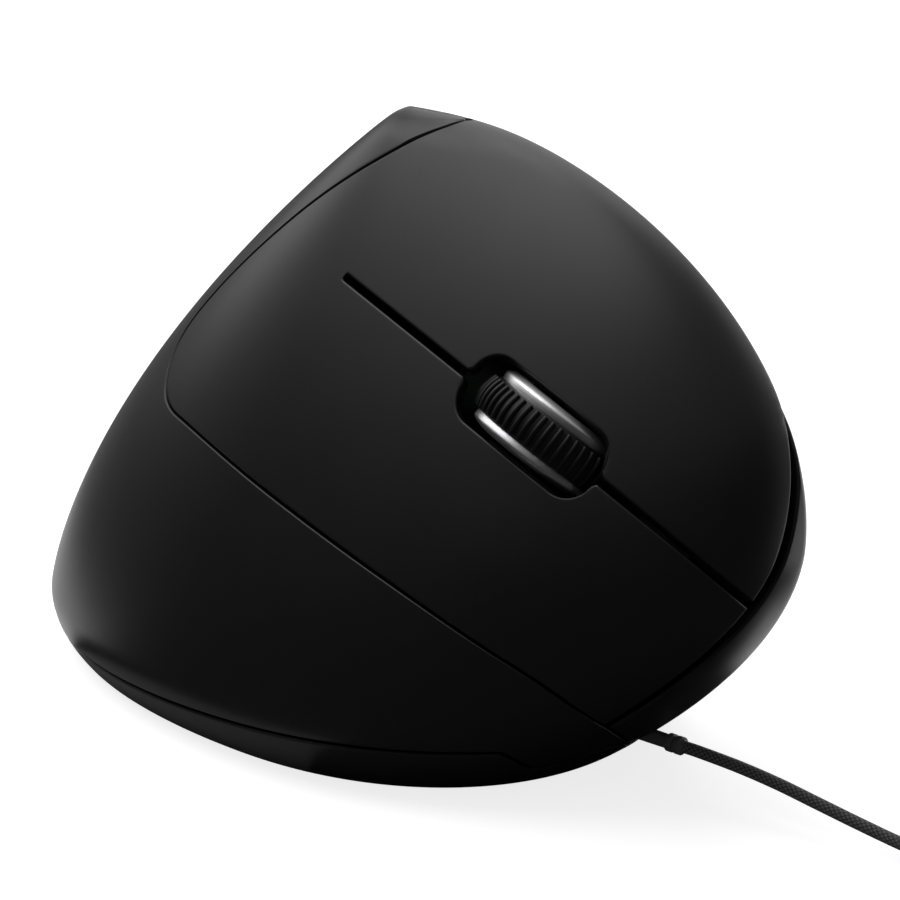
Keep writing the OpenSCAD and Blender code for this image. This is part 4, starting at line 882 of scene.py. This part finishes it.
base_turns = np.unique(np.concatenate([
    np.arange(0, 360, 1.5), np.arange(48, 92, 0.4), np.arange(114, 132, 0.5)]))
base_top = seam_height(base_turns) - SEAM_GAP / 2
lip_top = base_top + np.where((base_turns > LIP_BREAK[0]) & (base_turns < LIP_BREAK[1]), 0.0, LIP_RISE) + 0.01
soft_arc = np.radians([0, 18, 36, 54, 72, 90])
wall_high = base_top - FOOT - 2 * BASE_SOFT
stack = [(BASE_SOFT * (1 - math.sin(a)), FOOT + BASE_SOFT * (1 - math.cos(a))) for a in soft_arc]
stack += [(0, FOOT + BASE_SOFT + s * wall_high) for s in np.linspace(0, 1, 12)[1:]]
stack += [(BASE_SOFT * (1 - math.cos(a)), base_top - BASE_SOFT * (1 - math.sin(a))) for a in soft_arc[1:]]
stack += [(LIP_OUTER, base_top), (LIP_OUTER, lip_top), (LIP_INNER, lip_top), (LIP_INNER, FLOOR_TOP)]
base_rings = [level(skin(base_turns, height, inset), height) for inset, height in stack]
base_shell = add_piece("base_shell_skin", *ring_stack(base_rings, [0, 0, FOOT], [0, 0, FLOOR_TOP]),
                       base_black, "mouse_body", ["base_shell"])
cut_out(base_shell, [prism(*post, circle(r, 40), *ends) for post in POSTS for r, *ends in POST_HOLES])
cut_out(base_shell, [prism(*SENSOR, rectangle(*WINDOW), 0, 4)])
standoffs = joined([ring_stack(
    [level(circle(r, 32) + [x, y], z) for r, z in STANDOFF], [x, y, STANDOFF[0][1]], [x, y, STANDOFF[-1][1]])
    for x, y in BOARD_HOLES])
tray = bmesh.new()
tray.from_mesh(base_shell.data)
pillars = loose_object("pillars", *standoffs)
tray.from_mesh(pillars.data)
tray.to_mesh(base_shell.data)
tray.free()
bpy.data.objects.remove(pillars)
base_shell.data.shade_smooth()
base_shell.data.set_sharp_from_angle(angle=math.radians(35))
print("base has", len(base_shell.data.polygons), "faces after its holes")

# %% [markdown]
# ## Scroll wheel
# The wheel is a rubber tyre on a hub between two bright rims. Tyre and rims are turned parts, so a
# profile is swept round the axle. The ribs across the tyre are all alike, so Geometry Nodes makes
# one rib from an arc and places it round the axle as many times as needed.

# %% Wheel helpers
AXLE_DEPTH, TYRE_RADIUS, TYRE_WIDTH = 8.2, 11.5, 4.8
AXLE = FINGER[0] - FINGER[3] * AXLE_DEPTH


def lathe(profile, sides):
    """Turned solid from a closed profile of (radius, along) pairs round the wheel's axle."""
    profile = np.asarray(profile, float)
    turn = np.linspace(0, 2 * math.pi, sides, endpoint=False)
    spoke = np.cos(turn)[:, None] * FINGER[2] + np.sin(turn)[:, None] * FINGER[3]
    points = AXLE + profile[None, :, 0, None] * spoke[:, None] + profile[None, :, 1, None] * FINGER[1]
    points, faces = closed_sweep(points)
    return points, faces[:, ::-1]


tyre_rubber = moulded("tyre_rubber", (0.006, 0.006, 0.006), 0.42, grain_scale=7000, bump=0.25, specular=0.35)


def build_rib_tree():
    tree, enter = new_group("ribbed_tyre", "GeometryNodeTree", (
        ("Geometry", "Geometry", None), ("Ribs", "Int", 56), ("Crown Radius", "Float", 6.0 * MM),
        ("Crown Angle", "Float", 1.0), ("Crown Centre", "Float", 5.0 * MM),
        ("Rib Radius", "Float", 0.3 * MM), ("Finish", "Material", None),
    ), (("Geometry", "Geometry"),))
    arc = add_node(tree, "GeometryNodeCurveArc", {
        "Resolution": 11, "Radius": enter["Crown Radius"], "Sweep Angle": enter["Crown Angle"],
        "Start Angle": math_node(tree, "MULTIPLY", enter["Crown Angle"], -0.5)}, mode="RADIUS")
    ring = add_node(tree, "GeometryNodeCurvePrimitiveCircle", {"Resolution": 8, "Radius": enter["Rib Radius"]})
    bar = add_node(tree, "GeometryNodeCurveToMesh", {
        "Curve": arc["Curve"], "Profile Curve": ring["Curve"], "Fill Caps": True})
    out = add_node(tree, "ShaderNodeCombineXYZ", {"X": enter["Crown Centre"]})
    rib = add_node(tree, "GeometryNodeTransform", {
        "Geometry": bar["Mesh"], "Rotation": (math.pi / 2, 0, 0), "Translation": out[0]})
    points = add_node(tree, "GeometryNodePoints", {"Count": enter["Ribs"]})
    share = math_node(tree, "DIVIDE", add_node(tree, "GeometryNodeInputIndex")[0], enter["Ribs"])
    turn = add_node(tree, "ShaderNodeCombineXYZ", {"Z": math_node(tree, "MULTIPLY", share, 2 * math.pi)})
    copies = add_node(tree, "GeometryNodeInstanceOnPoints", {
        "Points": points[0], "Instance": rib[0], "Rotation": turn[0]})
    real = add_node(tree, "GeometryNodeRealizeInstances", {0: copies[0]})
    join = tree.nodes.new("GeometryNodeJoinGeometry")
    for part in (real[0], enter["Geometry"]):
        tree.links.new(part, join.inputs[0])
    dressed = add_node(tree, "GeometryNodeSetMaterial", {
        "Geometry": join.outputs[0], "Material": enter["Finish"]})
    add_node(tree, "NodeGroupOutput", {0: dressed[0]})
    return tree


def set_input(modifier, name, value):
    """Sets a tree's input by its socket's identifier."""
    sockets = modifier.node_group.interface.items_tree
    key = next(s.identifier for s in sockets if s.in_out == "INPUT" and s.name == name)
    modifier[key] = value

# %% Tyre with ribs
RIBS, RIB_RADIUS, CROWN_RADIUS = 56, 0.34, 5.2
TYRE_SEAT, TYRE_EDGE, TYRE_FLANK, GROOVE_DEPTH = 9.0, 0.35, 0.5, 0.42
crown_half = math.asin((TYRE_WIDTH / 2 - TYRE_EDGE) / CROWN_RADIUS)
groove_radius = TYRE_RADIUS - GROOVE_DEPTH
crown = np.linspace(-crown_half, crown_half, 15)
profile = [(TYRE_SEAT, -TYRE_WIDTH / 2)] + [
    (groove_radius - CROWN_RADIUS * (1 - math.cos(a)), CROWN_RADIUS * math.sin(a)) for a in crown
] + [(TYRE_SEAT, TYRE_WIDTH / 2)]
profile.insert(1, (profile[1][0] - TYRE_FLANK, -TYRE_WIDTH / 2))
profile.insert(-1, (profile[-2][0] - TYRE_FLANK, TYRE_WIDTH / 2))
body_points, body_faces = lathe(profile, 168)
wheel_axes = np.stack([FINGER[2], FINGER[3], FINGER[1]])
tyre = loose_object("wheel_tyre_ribbed", (body_points - AXLE) @ wheel_axes.T, body_faces)
ribs = tyre.modifiers.new("ribs", "NODES")
ribs.node_group = build_rib_tree()
for name, value in {
    "Ribs": RIBS, "Crown Radius": CROWN_RADIUS * MM, "Crown Angle": 2 * crown_half,
    "Crown Centre": (TYRE_RADIUS - RIB_RADIUS - CROWN_RADIUS) * MM, "Rib Radius": RIB_RADIUS * MM,
    "Finish": tyre_rubber,
}.items():
    set_input(ribs, name, value)
mesh = applied(tyre)
flat = np.empty(len(mesh.vertices) * 3)
mesh.vertices.foreach_get("co", flat)
mesh.vertices.foreach_set("co", (flat.reshape(-1, 3) @ wheel_axes + AXLE * MM).ravel())
mesh.update()
mesh.shade_smooth()
mesh.set_sharp_from_angle(angle=math.radians(50))
declare(tyre, "scroll_wheel", ["wheel_tyre"])
print("tyre:", len(mesh.polygons), "faces with", RIBS, "ribs")

# %% [markdown]
# ## Bright rims
# The two rims are satin metal-plated rings. In the picture each is a bright crescent over its whole
# length. A gently crowned face turns some part of itself to the overhead lamp from every side, and a
# little roughness spreads that light over the rest of the face.

# %% Rims
RIM_SEAT, RIM_RADIUS, RIM_HALF, RIM_CROWN, RIM_BEVEL = 6.6, 10.1, 4.0, 0.12, 1.2
rim_chrome = moulded("rim_chrome", (0.93, 0.93, 0.94), 0.42, grain_scale=2600, bump=0.04, gloss_change=0.05,
                     tint_change=0.04, metal=1.0, specular=0.5)
rim_inner, rim_middle, rim_bevel = TYRE_WIDTH / 2, (TYRE_WIDTH / 2 + RIM_HALF) / 2, 3.2
crowned = [(RIM_RADIUS - RIM_CROWN * (2 * (a - rim_middle) / (RIM_HALF - rim_inner)) ** 2
            - RIM_BEVEL * max(0.0, (a - rim_bevel) / (RIM_HALF - rim_bevel)) ** 2, a)
           for a in np.linspace(rim_inner, RIM_HALF - 0.05, 16)]
rim_profile = [(RIM_SEAT, rim_inner)] + crowned + [
    (crowned[-1][0] - 0.2, RIM_HALF), (RIM_SEAT + 0.4, RIM_HALF), (RIM_SEAT, RIM_HALF - 0.4)]
for name, side in (("upper_rim", -1), ("lower_rim", 1)):
    points, faces = lathe([(r, side * a) for r, a in rim_profile], 160)
    add_piece(f"{name}_polished", points, faces[:, ::side], rim_chrome, "scroll_wheel", [name], 30)

# %% [markdown]
# ## Cord
# The lead is a braided cord 1.6 mm thick and about 1.6 m long. It leaves the nose, drops to the desk
# and is put away past the picture's edge in a tied coil of 24 loops in four layers. Its route is the
# one in the CAD source, so the tube lies where the solids are. The braid is drawn in the material:
# two sets of strands wind round the tube, and the map along the tube says where they cross. The
# gaps between the strands are painted darker, as painted shade.

# %% Route of the cord
CORD_RADIUS, CORD_LIFT, RELIEF_END = 0.8, 1.5, 45.6
COIL_Y, COIL_OUTER, COIL_PITCH, COIL_LOOPS, LAYER_LOOPS = 114.0, 15.75, 2.05, 24, 6
RUN_OUT = ((RELIEF_END, OUTLET_Z), (48, OUTLET_Z), (54, 5), (60, 4.5), (66, 3.7), (72, 2.9), (78, 2.2),
           (84, 1.7), (92, CORD_LIFT), (102, CORD_LIFT), (112.4, CORD_LIFT))


def through(points, per):
    """A smooth line through set points, with a few steps between neighbours."""
    points = np.asarray(points, float)
    n = len(points) - 1
    s = np.arange(per)[:, None] / per
    line = []
    for k in range(n):
        a, b, c, d = points[max(k - 1, 0)], points[k], points[k + 1], points[min(k + 2, n)]
        bend, sway = 2 * a - 5 * b + 4 * c - d, 3 * (b - c) + d - a
        line.append(b + (c - a) * s / 2 + bend * s ** 2 / 2 + sway * s ** 3 / 2)
    return np.concatenate(line + [points[n:]])


free_run = through([(CORD_X, y, z) for y, z in RUN_OUT], 8)
coil_centre = np.array([CORD_X - COIL_OUTER, COIL_Y])
s = np.arange(0, COIL_LOOPS + 0.5 + 1e-9, 1 / 48)
layer = np.floor(s / LAYER_LOOPS)
within = s - layer * LAYER_LOOPS
swing = np.where(s > COIL_LOOPS, COIL_LOOPS - s, np.where(layer % 2 == 0, within, LAYER_LOOPS - within))
held = np.minimum(s, COIL_LOOPS)
near = np.floor(held / LAYER_LOOPS + 0.5)
d = np.clip((held - near * LAYER_LOOPS) * 4, -1, 1)
climb = np.where(near < 1, 0, np.where(near >= 4, 3, near - 0.5 + d * (3 - d * d) / 4))
radius = COIL_OUTER - COIL_PITCH * swing
coil_run = np.stack([
    coil_centre[0] + radius * np.cos(2 * np.pi * s), coil_centre[1] + radius * np.sin(2 * np.pi * s),
    CORD_LIFT + COIL_PITCH * climb], 1)
coil_end = coil_run[-1] - [0, 1.6, 0]
tail_end = np.array([coil_end[0], COIL_Y - 16, 4.2])
tail_run = through([
    coil_end, coil_end - [0, 2, 0], coil_end - [0, 7, 1],
    tail_end + [0, 4, 0.3], tail_end + [0, 1.8, 0], tail_end], 6)
cord_run = np.concatenate([free_run, coil_run, tail_run])

# %% Braid
BRAID_DEPTH = 0.12 * MM


def build_braid_group():
    group, enter = new_group("braid", "ShaderNodeTree", (
        ("Strands", "Float", 8.0), ("Crossings per m", "Float", 1600.0)), (("Height", "Float"),))
    place = add_node(group, "ShaderNodeUVMap", uv_map="along")
    parts = add_node(group, "ShaderNodeSeparateXYZ", {0: place[0]})
    along = math_node(group, "MULTIPLY", parts[0], enter["Crossings per m"])
    around = math_node(group, "MULTIPLY", parts[1], enter["Strands"])
    rising, falling = (
        math_node(group, "SINE", math_node(group, "MULTIPLY", math_node(group, way, along, around), math.pi))
        for way in ("ADD", "SUBTRACT"))
    bumps = math_node(group, "ABSOLUTE", math_node(group, "MULTIPLY", rising, falling))
    add_node(group, "NodeGroupOutput", {"Height": math_node(group, "POWER", bumps, 0.5)})
    return group


BRAID = build_braid_group()


def braided(name, dark, light, strands, crossings):
    """Woven yarn: strands stand proud, and the gaps between them get painted shade, a darker colour."""
    made, tree, shader = new_finish(name)
    weave = add_node(tree, "ShaderNodeGroup", {"Strands": strands, "Crossings per m": crossings}, node_tree=BRAID)
    # painted shade: the ramp gives the low gaps between the strands a darker colour than the strands
    tint = tree.nodes.new("ShaderNodeValToRGB")
    for stop, colour in zip(tint.color_ramp.elements, (dark, light)):
        stop.color = (*colour, 1)
    feed(tree, tint.inputs, {"Fac": weave["Height"]})
    relief = add_node(tree, "ShaderNodeBump", {
        "Strength": 0.8, "Distance": BRAID_DEPTH, "Height": weave["Height"]})
    feed(tree, shader, {
        "Base Color": tint.outputs["Color"], "Normal": relief["Normal"],
        "Roughness": 0.6, "Specular IOR Level": 0.3})
    return made


# the first colour is the painted shade in the gaps between strands, the second the strands' colour
cord_black = braided("cord_black", (0.004, 0.004, 0.004), (0.14, 0.14, 0.142), 8.0, 1250.0)

# %% Cord tube
def add_tube(name, run, radius, finish, replaced, sides=14):
    """A closed tube along a line of points, with a map of the distance along it and the share round it."""
    way = unit(np.gradient(run, axis=0))
    side = unit(np.cross(way, [0, 0, 1]))
    up = np.cross(side, way)
    turn = np.linspace(0, 2 * math.pi, sides, endpoint=False)[:, None]
    rings = run[:, None] + radius * (side[:, None] * np.cos(turn) + up[:, None] * np.sin(turn))
    piece = add_piece(name, *ring_stack(list(rings), run[0], run[-1]), finish, "mouse_body", replaced, 60)
    gone = np.concatenate([[0], np.cumsum(np.linalg.norm(np.diff(run, axis=0), axis=1))])
    uv = piece.data.uv_layers.new(name="along")
    for face in piece.data.polygons:
        corners = list(face.vertices)
        around = [v % sides for v in corners]
        wrap = max(around) - min(around) > sides / 2
        for loop, vertex, place in zip(face.loop_indices, corners, around):
            ring = min(vertex // sides, len(run) - 1)
            share = (place + sides if wrap and place < sides / 2 else place) / sides
            uv.data[loop].uv = (gone[ring] * MM, share)
    return piece


lead = add_tube("braided_cord", cord_run, CORD_RADIUS, cord_black, ["cord", "cord_coil", "cord_tail"])

# %% [markdown]
# ## Strain relief
# Where the lead leaves the nose, a rubber gland sits in an arch in the casing with a smooth sleeve in
# front of it. Two collars grip the braid. The arch is an edge of the thumb shell, the sleeve is a
# turned form, and the gland a rounded block whose front leans with the nose.

# %% Strain relief
relief_rubber = moulded("relief_rubber", (0.085, 0.085, 0.087), 0.36, grain_scale=6000, bump=0.1, specular=0.5)


GLAND_HALF, GLAND_LOW, GLAND_BACK, GLAND_FRONT = 1.2, 3.46, 35, 39
GLAND_CORNER, GLAND_PROUD, GLAND_LEAN = 0.5, 0.3, 1.22
COLLAR = ((0, 0.95), (0.04, 1.1), (0.14, 1.19), (0.86, 1.19), (0.96, 1.1), (1.0, 0.92))


def upright(ring, y):
    return np.insert(ring, 1, y, axis=1)


def turned_along(profile, centre, sides=40):
    """Turned solid along +Y from (along, radius) pairs, closed at both ends."""
    rings = [upright(circle(r, sides) * [1, -1] + centre, y) for y, r in profile]
    return ring_stack(rings, *([centre[0], y, centre[1]] for y in (profile[0][0], profile[-1][0])))


def corner_ring(x0, x1, z0, z1, r, steps):
    """Outline of a rectangle with rounded corners."""
    arc = np.radians(np.linspace(0, 90, steps))
    ring = []
    for x, z, start in ((x1 - r, z1 - r, 0), (x0 + r, z1 - r, 90), (x0 + r, z0 + r, 180), (x1 - r, z0 + r, 270)):
        ring += [(x + r * math.cos(a), z + r * math.sin(a)) for a in arc + math.radians(start)]
    return np.array(ring)


def rounded_box(low, high, radius, steps=5):
    """Box with rounded edges along Y and softened ends."""
    arc = np.radians(np.linspace(0, 90, steps))
    ends = [(radius * (1 - math.sin(a)), radius * (1 - math.cos(a))) for a in arc]
    rows = [(low[1] + y, inset) for inset, y in ends] + [(high[1] - y, inset) for inset, y in reversed(ends)]
    rings = [upright(corner_ring(low[0] + inset, high[0] - inset, low[2] + inset, high[2] - inset,
                                 max(radius - inset, 0.02), steps)[::-1], y) for y, inset in rows]
    x, z = (low[0] + high[0]) / 2, (low[2] + high[2]) / 2
    return ring_stack(rings, [x, low[1], z], [x, high[1], z])


gland, gland_faces = rounded_box(
    (CORD_X - GLAND_HALF, GLAND_BACK, GLAND_LOW),
    (CORD_X + GLAND_HALF, GLAND_FRONT, OUTLET_Z + GLAND_HALF), GLAND_CORNER)
share = (gland[:, 1] - GLAND_BACK) / (GLAND_FRONT - GLAND_BACK)
gland[:, 1] += share * (GLAND_PROUD + GLAND_LEAN * (gland[:, 2] - OUTLET_Z))
sleeve = [(38.6, 0.95), (42.7, 0.93)] + [(start + y, r) for start in (43.0, 44.3) for y, r in COLLAR]
sleeve += [(45.45, 0.92), (RELIEF_END, 0.82)]
add_piece("strain_relief_moulded", *joined([turned_along(sleeve, (CORD_X, OUTLET_Z)), (gland, gland_faces)]),
          relief_rubber, "mouse_body", ["strain_relief"])

# %% [markdown]
# ## Plug, strap and inner lead
# The far end is a full-size USB plug: a moulded grip, a folded metal shell with its two square
# latch holes, a tongue and four contacts. A strap holds the coil. The lead inside the casing is a
# plain round wire from the gland to its connector.

# %% Plug
GRIP_LENGTH, GRIP_Z, GRIP_CORNER, PLUG_WIDTH, PLUG_HEIGHT = 21.0, 4.0, 2.2, 12.0, 4.5
GROOVE = ((-0.5, 15.6, 8.0), (-0.2, 15.0, 7.5), (0.2, 15.0, 7.5), (0.5, 15.6, 8.0))
SHELL_WALL, SHELL_OUT, SHELL_ROOT, SHELL_CORNER = 0.35, 12.6, 0.6, 0.45
LATCH_SIDE, LATCH_BACK, LATCH_SIZE, LATCH_DEPTH = 2.9, 6.2, (2.1, 2.3), 0.6
plug_black = moulded("plug_black", (0.016, 0.016, 0.0165), 0.4, grain_scale=4500, bump=0.2)
plug_steel = moulded(
    "plug_steel", (0.62, 0.62, 0.63), 0.28, grain_scale=3000, bump=0.06, metal=1.0, tint_change=0.08)
plug_x, grip_back, plug_z = tail_end
grip_front = grip_back - GRIP_LENGTH


def plug_ring(y, z, wide, tall, corner, steps):
    ring = corner_ring(-wide / 2, wide / 2, -tall / 2, tall / 2, corner, steps)[::-1]
    return upright(ring + [plug_x, z], y)


grip_rows = [(0, 14.6, 7.0), (0.25, 15.2, 7.6), (0.8, 15.6, 8.0), (6.0, 15.6, 8.0)]
grip_rows += [(groove + y, w, h) for groove in (8.0, 9.6, 11.2, 12.8) for y, w, h in GROOVE]
grip_rows += [(15.0, 15.4, 8.0), (17.0, 14.2, 7.8), (18.6, 11.8, 7.2), (19.8, 8.6, 6.0), (20.6, 6.0, 5.0),
              (GRIP_LENGTH, 5.2, 4.6)]
grip_rings = [plug_ring(grip_front + y, GRIP_Z, w, h, min(GRIP_CORNER, h / 2 - 0.1), 7) for y, w, h in grip_rows]
plug_grip = add_piece(
    "plug_grip_moulded", *ring_stack(grip_rings, [plug_x, grip_front, GRIP_Z], [plug_x, grip_back, GRIP_Z]),
    plug_black, "mouse_body", ["plug_grip"])
shell_tip, shell_root = grip_front - SHELL_OUT, grip_front + SHELL_ROOT
shell_rows = [
    plug_ring(y, plug_z, PLUG_WIDTH - 2 * inset, PLUG_HEIGHT - 2 * inset, max(SHELL_CORNER - inset, 0.12), 4)
    for y, inset in ((shell_root, SHELL_WALL), (shell_root, 0), (shell_tip + 0.2, 0), (shell_tip, 0.12),
                     (shell_tip, SHELL_WALL - 0.08), (shell_tip + 0.2, SHELL_WALL))]
plug_shell = add_piece(
    "plug_shell_folded", *closed_sweep(shell_rows), plug_steel, "mouse_body", ["plug_shell"], 30)
cut_out(plug_shell, [
    prism(plug_x + x, shell_tip + LATCH_BACK, rectangle(*LATCH_SIZE), z - LATCH_DEPTH, z + LATCH_DEPTH)
    for z in (plug_z - PLUG_HEIGHT / 2, plug_z + PLUG_HEIGHT / 2) for x in (-LATCH_SIDE, LATCH_SIDE)])
plug_shell.data.set_sharp_from_angle(angle=math.radians(30))

# %% Strap and inner lead
BAND_ROOM, BAND_CORNER = 1.05, 1.4
BAND_SECTION = ((-1.5, 0.1), (-1.5, 0.3), (-1.4, 0.4), (1.4, 0.4), (1.5, 0.3), (1.5, 0.1), (1.4, 0.0), (-1.4, 0.0))
WIRE_X, WIRE_Y, WIRE_Z, WIRE_RADIUS = -3, 5.95, 12.6, 0.8
strap_black = moulded("tie_black", (0.014, 0.014, 0.015), 0.75, grain_scale=3500, bump=0.7, gloss_change=0.1)
band_y = coil_centre[1] - COIL_OUTER + np.array([-BAND_ROOM, COIL_PITCH * LAYER_LOOPS + BAND_ROOM])
band_z = CORD_LIFT + np.array([-BAND_ROOM, 3 * COIL_PITCH + BAND_ROOM])
band_rows = []
for x, grow in BAND_SECTION:
    ring = corner_ring(*(band_y + [-grow, grow]), *(band_z + [-grow, grow]), BAND_CORNER + grow, 8)
    band_rows.append(np.insert(ring, 0, coil_centre[0] + x, axis=1))
strap = add_piece("coil_strap", *closed_sweep(band_rows), strap_black, "mouse_body", ["coil_tie"], 40)

wire_grey = moulded("wire_grey", (0.03, 0.03, 0.032), 0.45, grain_scale=4000, bump=0.1)
wire_run = through([
    (CORD_X, GLAND_BACK, OUTLET_Z), (CORD_X, 33, OUTLET_Z), (CORD_X - 0.4, 28, 6.0),
    (CORD_X - 1, 20, OUTLET_Z + 0.6 * (WIRE_Z - OUTLET_Z)), (WIRE_X, WIRE_Y + 6, WIRE_Z),
    (WIRE_X, WIRE_Y + 1.6, WIRE_Z), (WIRE_X, WIRE_Y, WIRE_Z)], 8)
add_tube("inner_wire", wire_run, WIRE_RADIUS, wire_grey, ["inner_lead"], 16)

# %% [markdown]
# ## Parts inside
# Boards, switches, the frame and the screws keep their CAD shapes, because they are plain moulded and
# stamped parts. Each gets the finish of its material: solder mask, steel, brown laminate, clear plastic.

# %% Finishes of the inner parts
PLAIN_FINISHES = (
    ("foot_slide", (0.05, 0.05, 0.052), 0.5, 2500, 0.15, {}),
    ("inner_grey", (0.008, 0.008, 0.0085), 0.6, 5000, 0.3, {}),
    ("board_green", (0.006, 0.03, 0.012), 0.35, 1800, 0.3, {"tint_change": 0.5, "cloud_scale": 700}),
    ("screw_steel", (0.55, 0.55, 0.56), 0.3, 4000, 0.1, {"metal": 1.0}),
    ("switch_black", (0.015, 0.015, 0.016), 0.45, 5000, 0.2, {}),
    ("plunger_white", (0.6, 0.6, 0.57), 0.4, 5000, 0.1, {}),
    ("encoder_brown", (0.12, 0.07, 0.03), 0.5, 4000, 0.3, {"tint_change": 0.3}),
    ("lens_clear", (0.85, 0.88, 0.9), 0.08, 3000, 0.05, {"tint_change": 0.03}),
    ("led_red", (0.8, 0.12, 0.08), 0.15, 3000, 0.05, {"tint_change": 0.03}),
    ("can_blue", (0.03, 0.035, 0.1), 0.35, 3000, 0.1, {}),
    ("contact_gold", (0.85, 0.6, 0.22), 0.25, 4000, 0.05, {"metal": 1.0}),
)
inner_finishes = {
    "plug_steel": plug_steel, "tyre_rubber": tyre_rubber, "rim_chrome": rim_chrome, "soft_black": soft_black,
    "base_black": base_black, "cord_black": cord_black, "tie_black": strap_black,
}
for name, tint, gloss, scale, bump, more in PLAIN_FINISHES:
    inner_finishes[name] = moulded(name, tint, gloss, scale, bump, **more)
for name in ("lens_clear", "led_red"):
    shader = inner_finishes[name].node_tree.nodes["Principled BSDF"]
    shader.inputs["Transmission Weight"].default_value = 0.85
for name, part in frame["nodes"].items():
    for holder in part.material_slots:
        holder.material = inner_finishes[SLOT_OF[name]]
print("finishes in all:", len(bpy.data.materials))

# %% [markdown]
# ## Floor, world and lamps
# The picture has a plain white ground with a soft shadow under the nose. A broad lamp overhead, a little
# behind and to the left, draws the sheen that fades over the finger side; a lower one on the left and
# one at the back fill it. Photographers keep a black part black with flags, dark cards that stand where
# a glossy surface would mirror the white table, and brighten an edge with white paper. The cards and
# the paper stand here too, and only reflections see them.

# %% Stage
world = bpy.data.worlds.new("dim_room")
bpy.context.scene.world = world
world.use_nodes = True
room = world.node_tree.nodes["Background"].inputs
feed(world.node_tree, room, {"Color": (1, 1, 1, 1), "Strength": 0.2})

FLOOR_HALF, CARD_LIFT, CARD_COLUMNS, CARD_ROWS = 4000, 0.5, 25, 17
floor = loose_object("floor", level(rectangle(2 * FLOOR_HALF, 2 * FLOOR_HALF), 0), [(0, 1, 2, 3)])
floor_white, tree, shader = new_finish("floor_white")
path = add_node(tree, "ShaderNodeLightPath")
seen = math_node(tree, "MAXIMUM", path["Is Camera Ray"], path["Is Glossy Ray"])
seen = math_node(tree, "MAXIMUM", seen, path["Is Transmission Ray"])
feed(tree, shader, {
    "Base Color": (0.6, 0.6, 0.6, 1), "Roughness": 0.9, "Specular IOR Level": 0.0,
    "Emission Color": (1, 1, 1, 1), "Emission Strength": math_node(tree, "MULTIPLY", seen, 0.8)})
floor.data.materials.append(floor_white)


def toward(azimuth, elevation):
    a, e = math.radians(azimuth), math.radians(elevation)
    return Vector((math.cos(a) * math.cos(e), math.sin(a) * math.cos(e), math.sin(e)))


def lamp(name, azimuth, elevation, distance, size, radiance):
    """A round soft lamp that faces the mouse; its power follows from its radiance and area."""
    data = bpy.data.lights.new(name, "AREA")
    data.shape, data.size = "DISK", size
    data.energy = radiance * math.pi * math.pi * size * size / 4
    made = bpy.data.objects.new(name, data)
    bpy.context.scene.collection.objects.link(made)
    way = toward(azimuth, elevation)
    made.location = BODY_POINT + way * distance
    made.rotation_euler = (-way).to_track_quat("-Z", "Y").to_euler()


def flag(name, azimuths, elevations, shade, distance=0.4, glow=0.0):
    """A curved card round the mouse that only reflections see, dark felt or lit white paper."""
    across, rising = np.linspace(*azimuths, CARD_COLUMNS), np.linspace(*elevations, CARD_ROWS)
    above_floor = (BODY_POINT.z - CARD_LIFT * MM) / np.maximum(np.sin(np.radians(-rising)), 1e-6)
    points = [tuple((BODY_POINT + toward(a, e) * min(distance, d)) / MM)
              for e, d in zip(rising, above_floor) for a in across]
    grid = np.arange(len(points)).reshape(CARD_ROWS, CARD_COLUMNS)
    faces = np.stack([grid[:-1, :-1], grid[:-1, 1:], grid[1:, 1:], grid[1:, :-1]], -1).reshape(-1, 4)
    card = loose_object(name, points, faces)
    face, tree, shader = new_finish(name + "_face")
    feed(tree, shader, {
        "Base Color": (shade, shade, shade, 1), "Specular IOR Level": 0.0, "Roughness": 1.0,
        "Emission Color": (1, 1, 1, 1), "Emission Strength": glow})
    card.data.materials.append(face)
    card.visible_camera = card.visible_diffuse = False
    card.visible_shadow = card.visible_transmission = False


lamp("overhead_lamp", -70, 64, 0.9, 0.9, 2.0)
lamp("left_lamp", -95, 24, 0.9, 0.5, 1.4)
lamp("back_lamp", 212, 54, 0.9, 0.6, 1.7)
flag("front_flag", (-60, 106), (-34, 31), 0.05, 0.16)
flag("nose_flag", (16, 118), (-89, -34), 0.05, 0.16)
flag("table_flag", (-130, 16), (-89, -34), 0.4, 0.16)
flag("side_flag", (-92, -60), (-14, 12), 0.2)
flag("left_flag", (-130, -92), (-14, 12), 0.35)
flag("back_paper", (145, 235), (-3, 45), 0.8, 0.8, 1.0)
bpy.context.scene.view_settings.view_transform = "Standard"
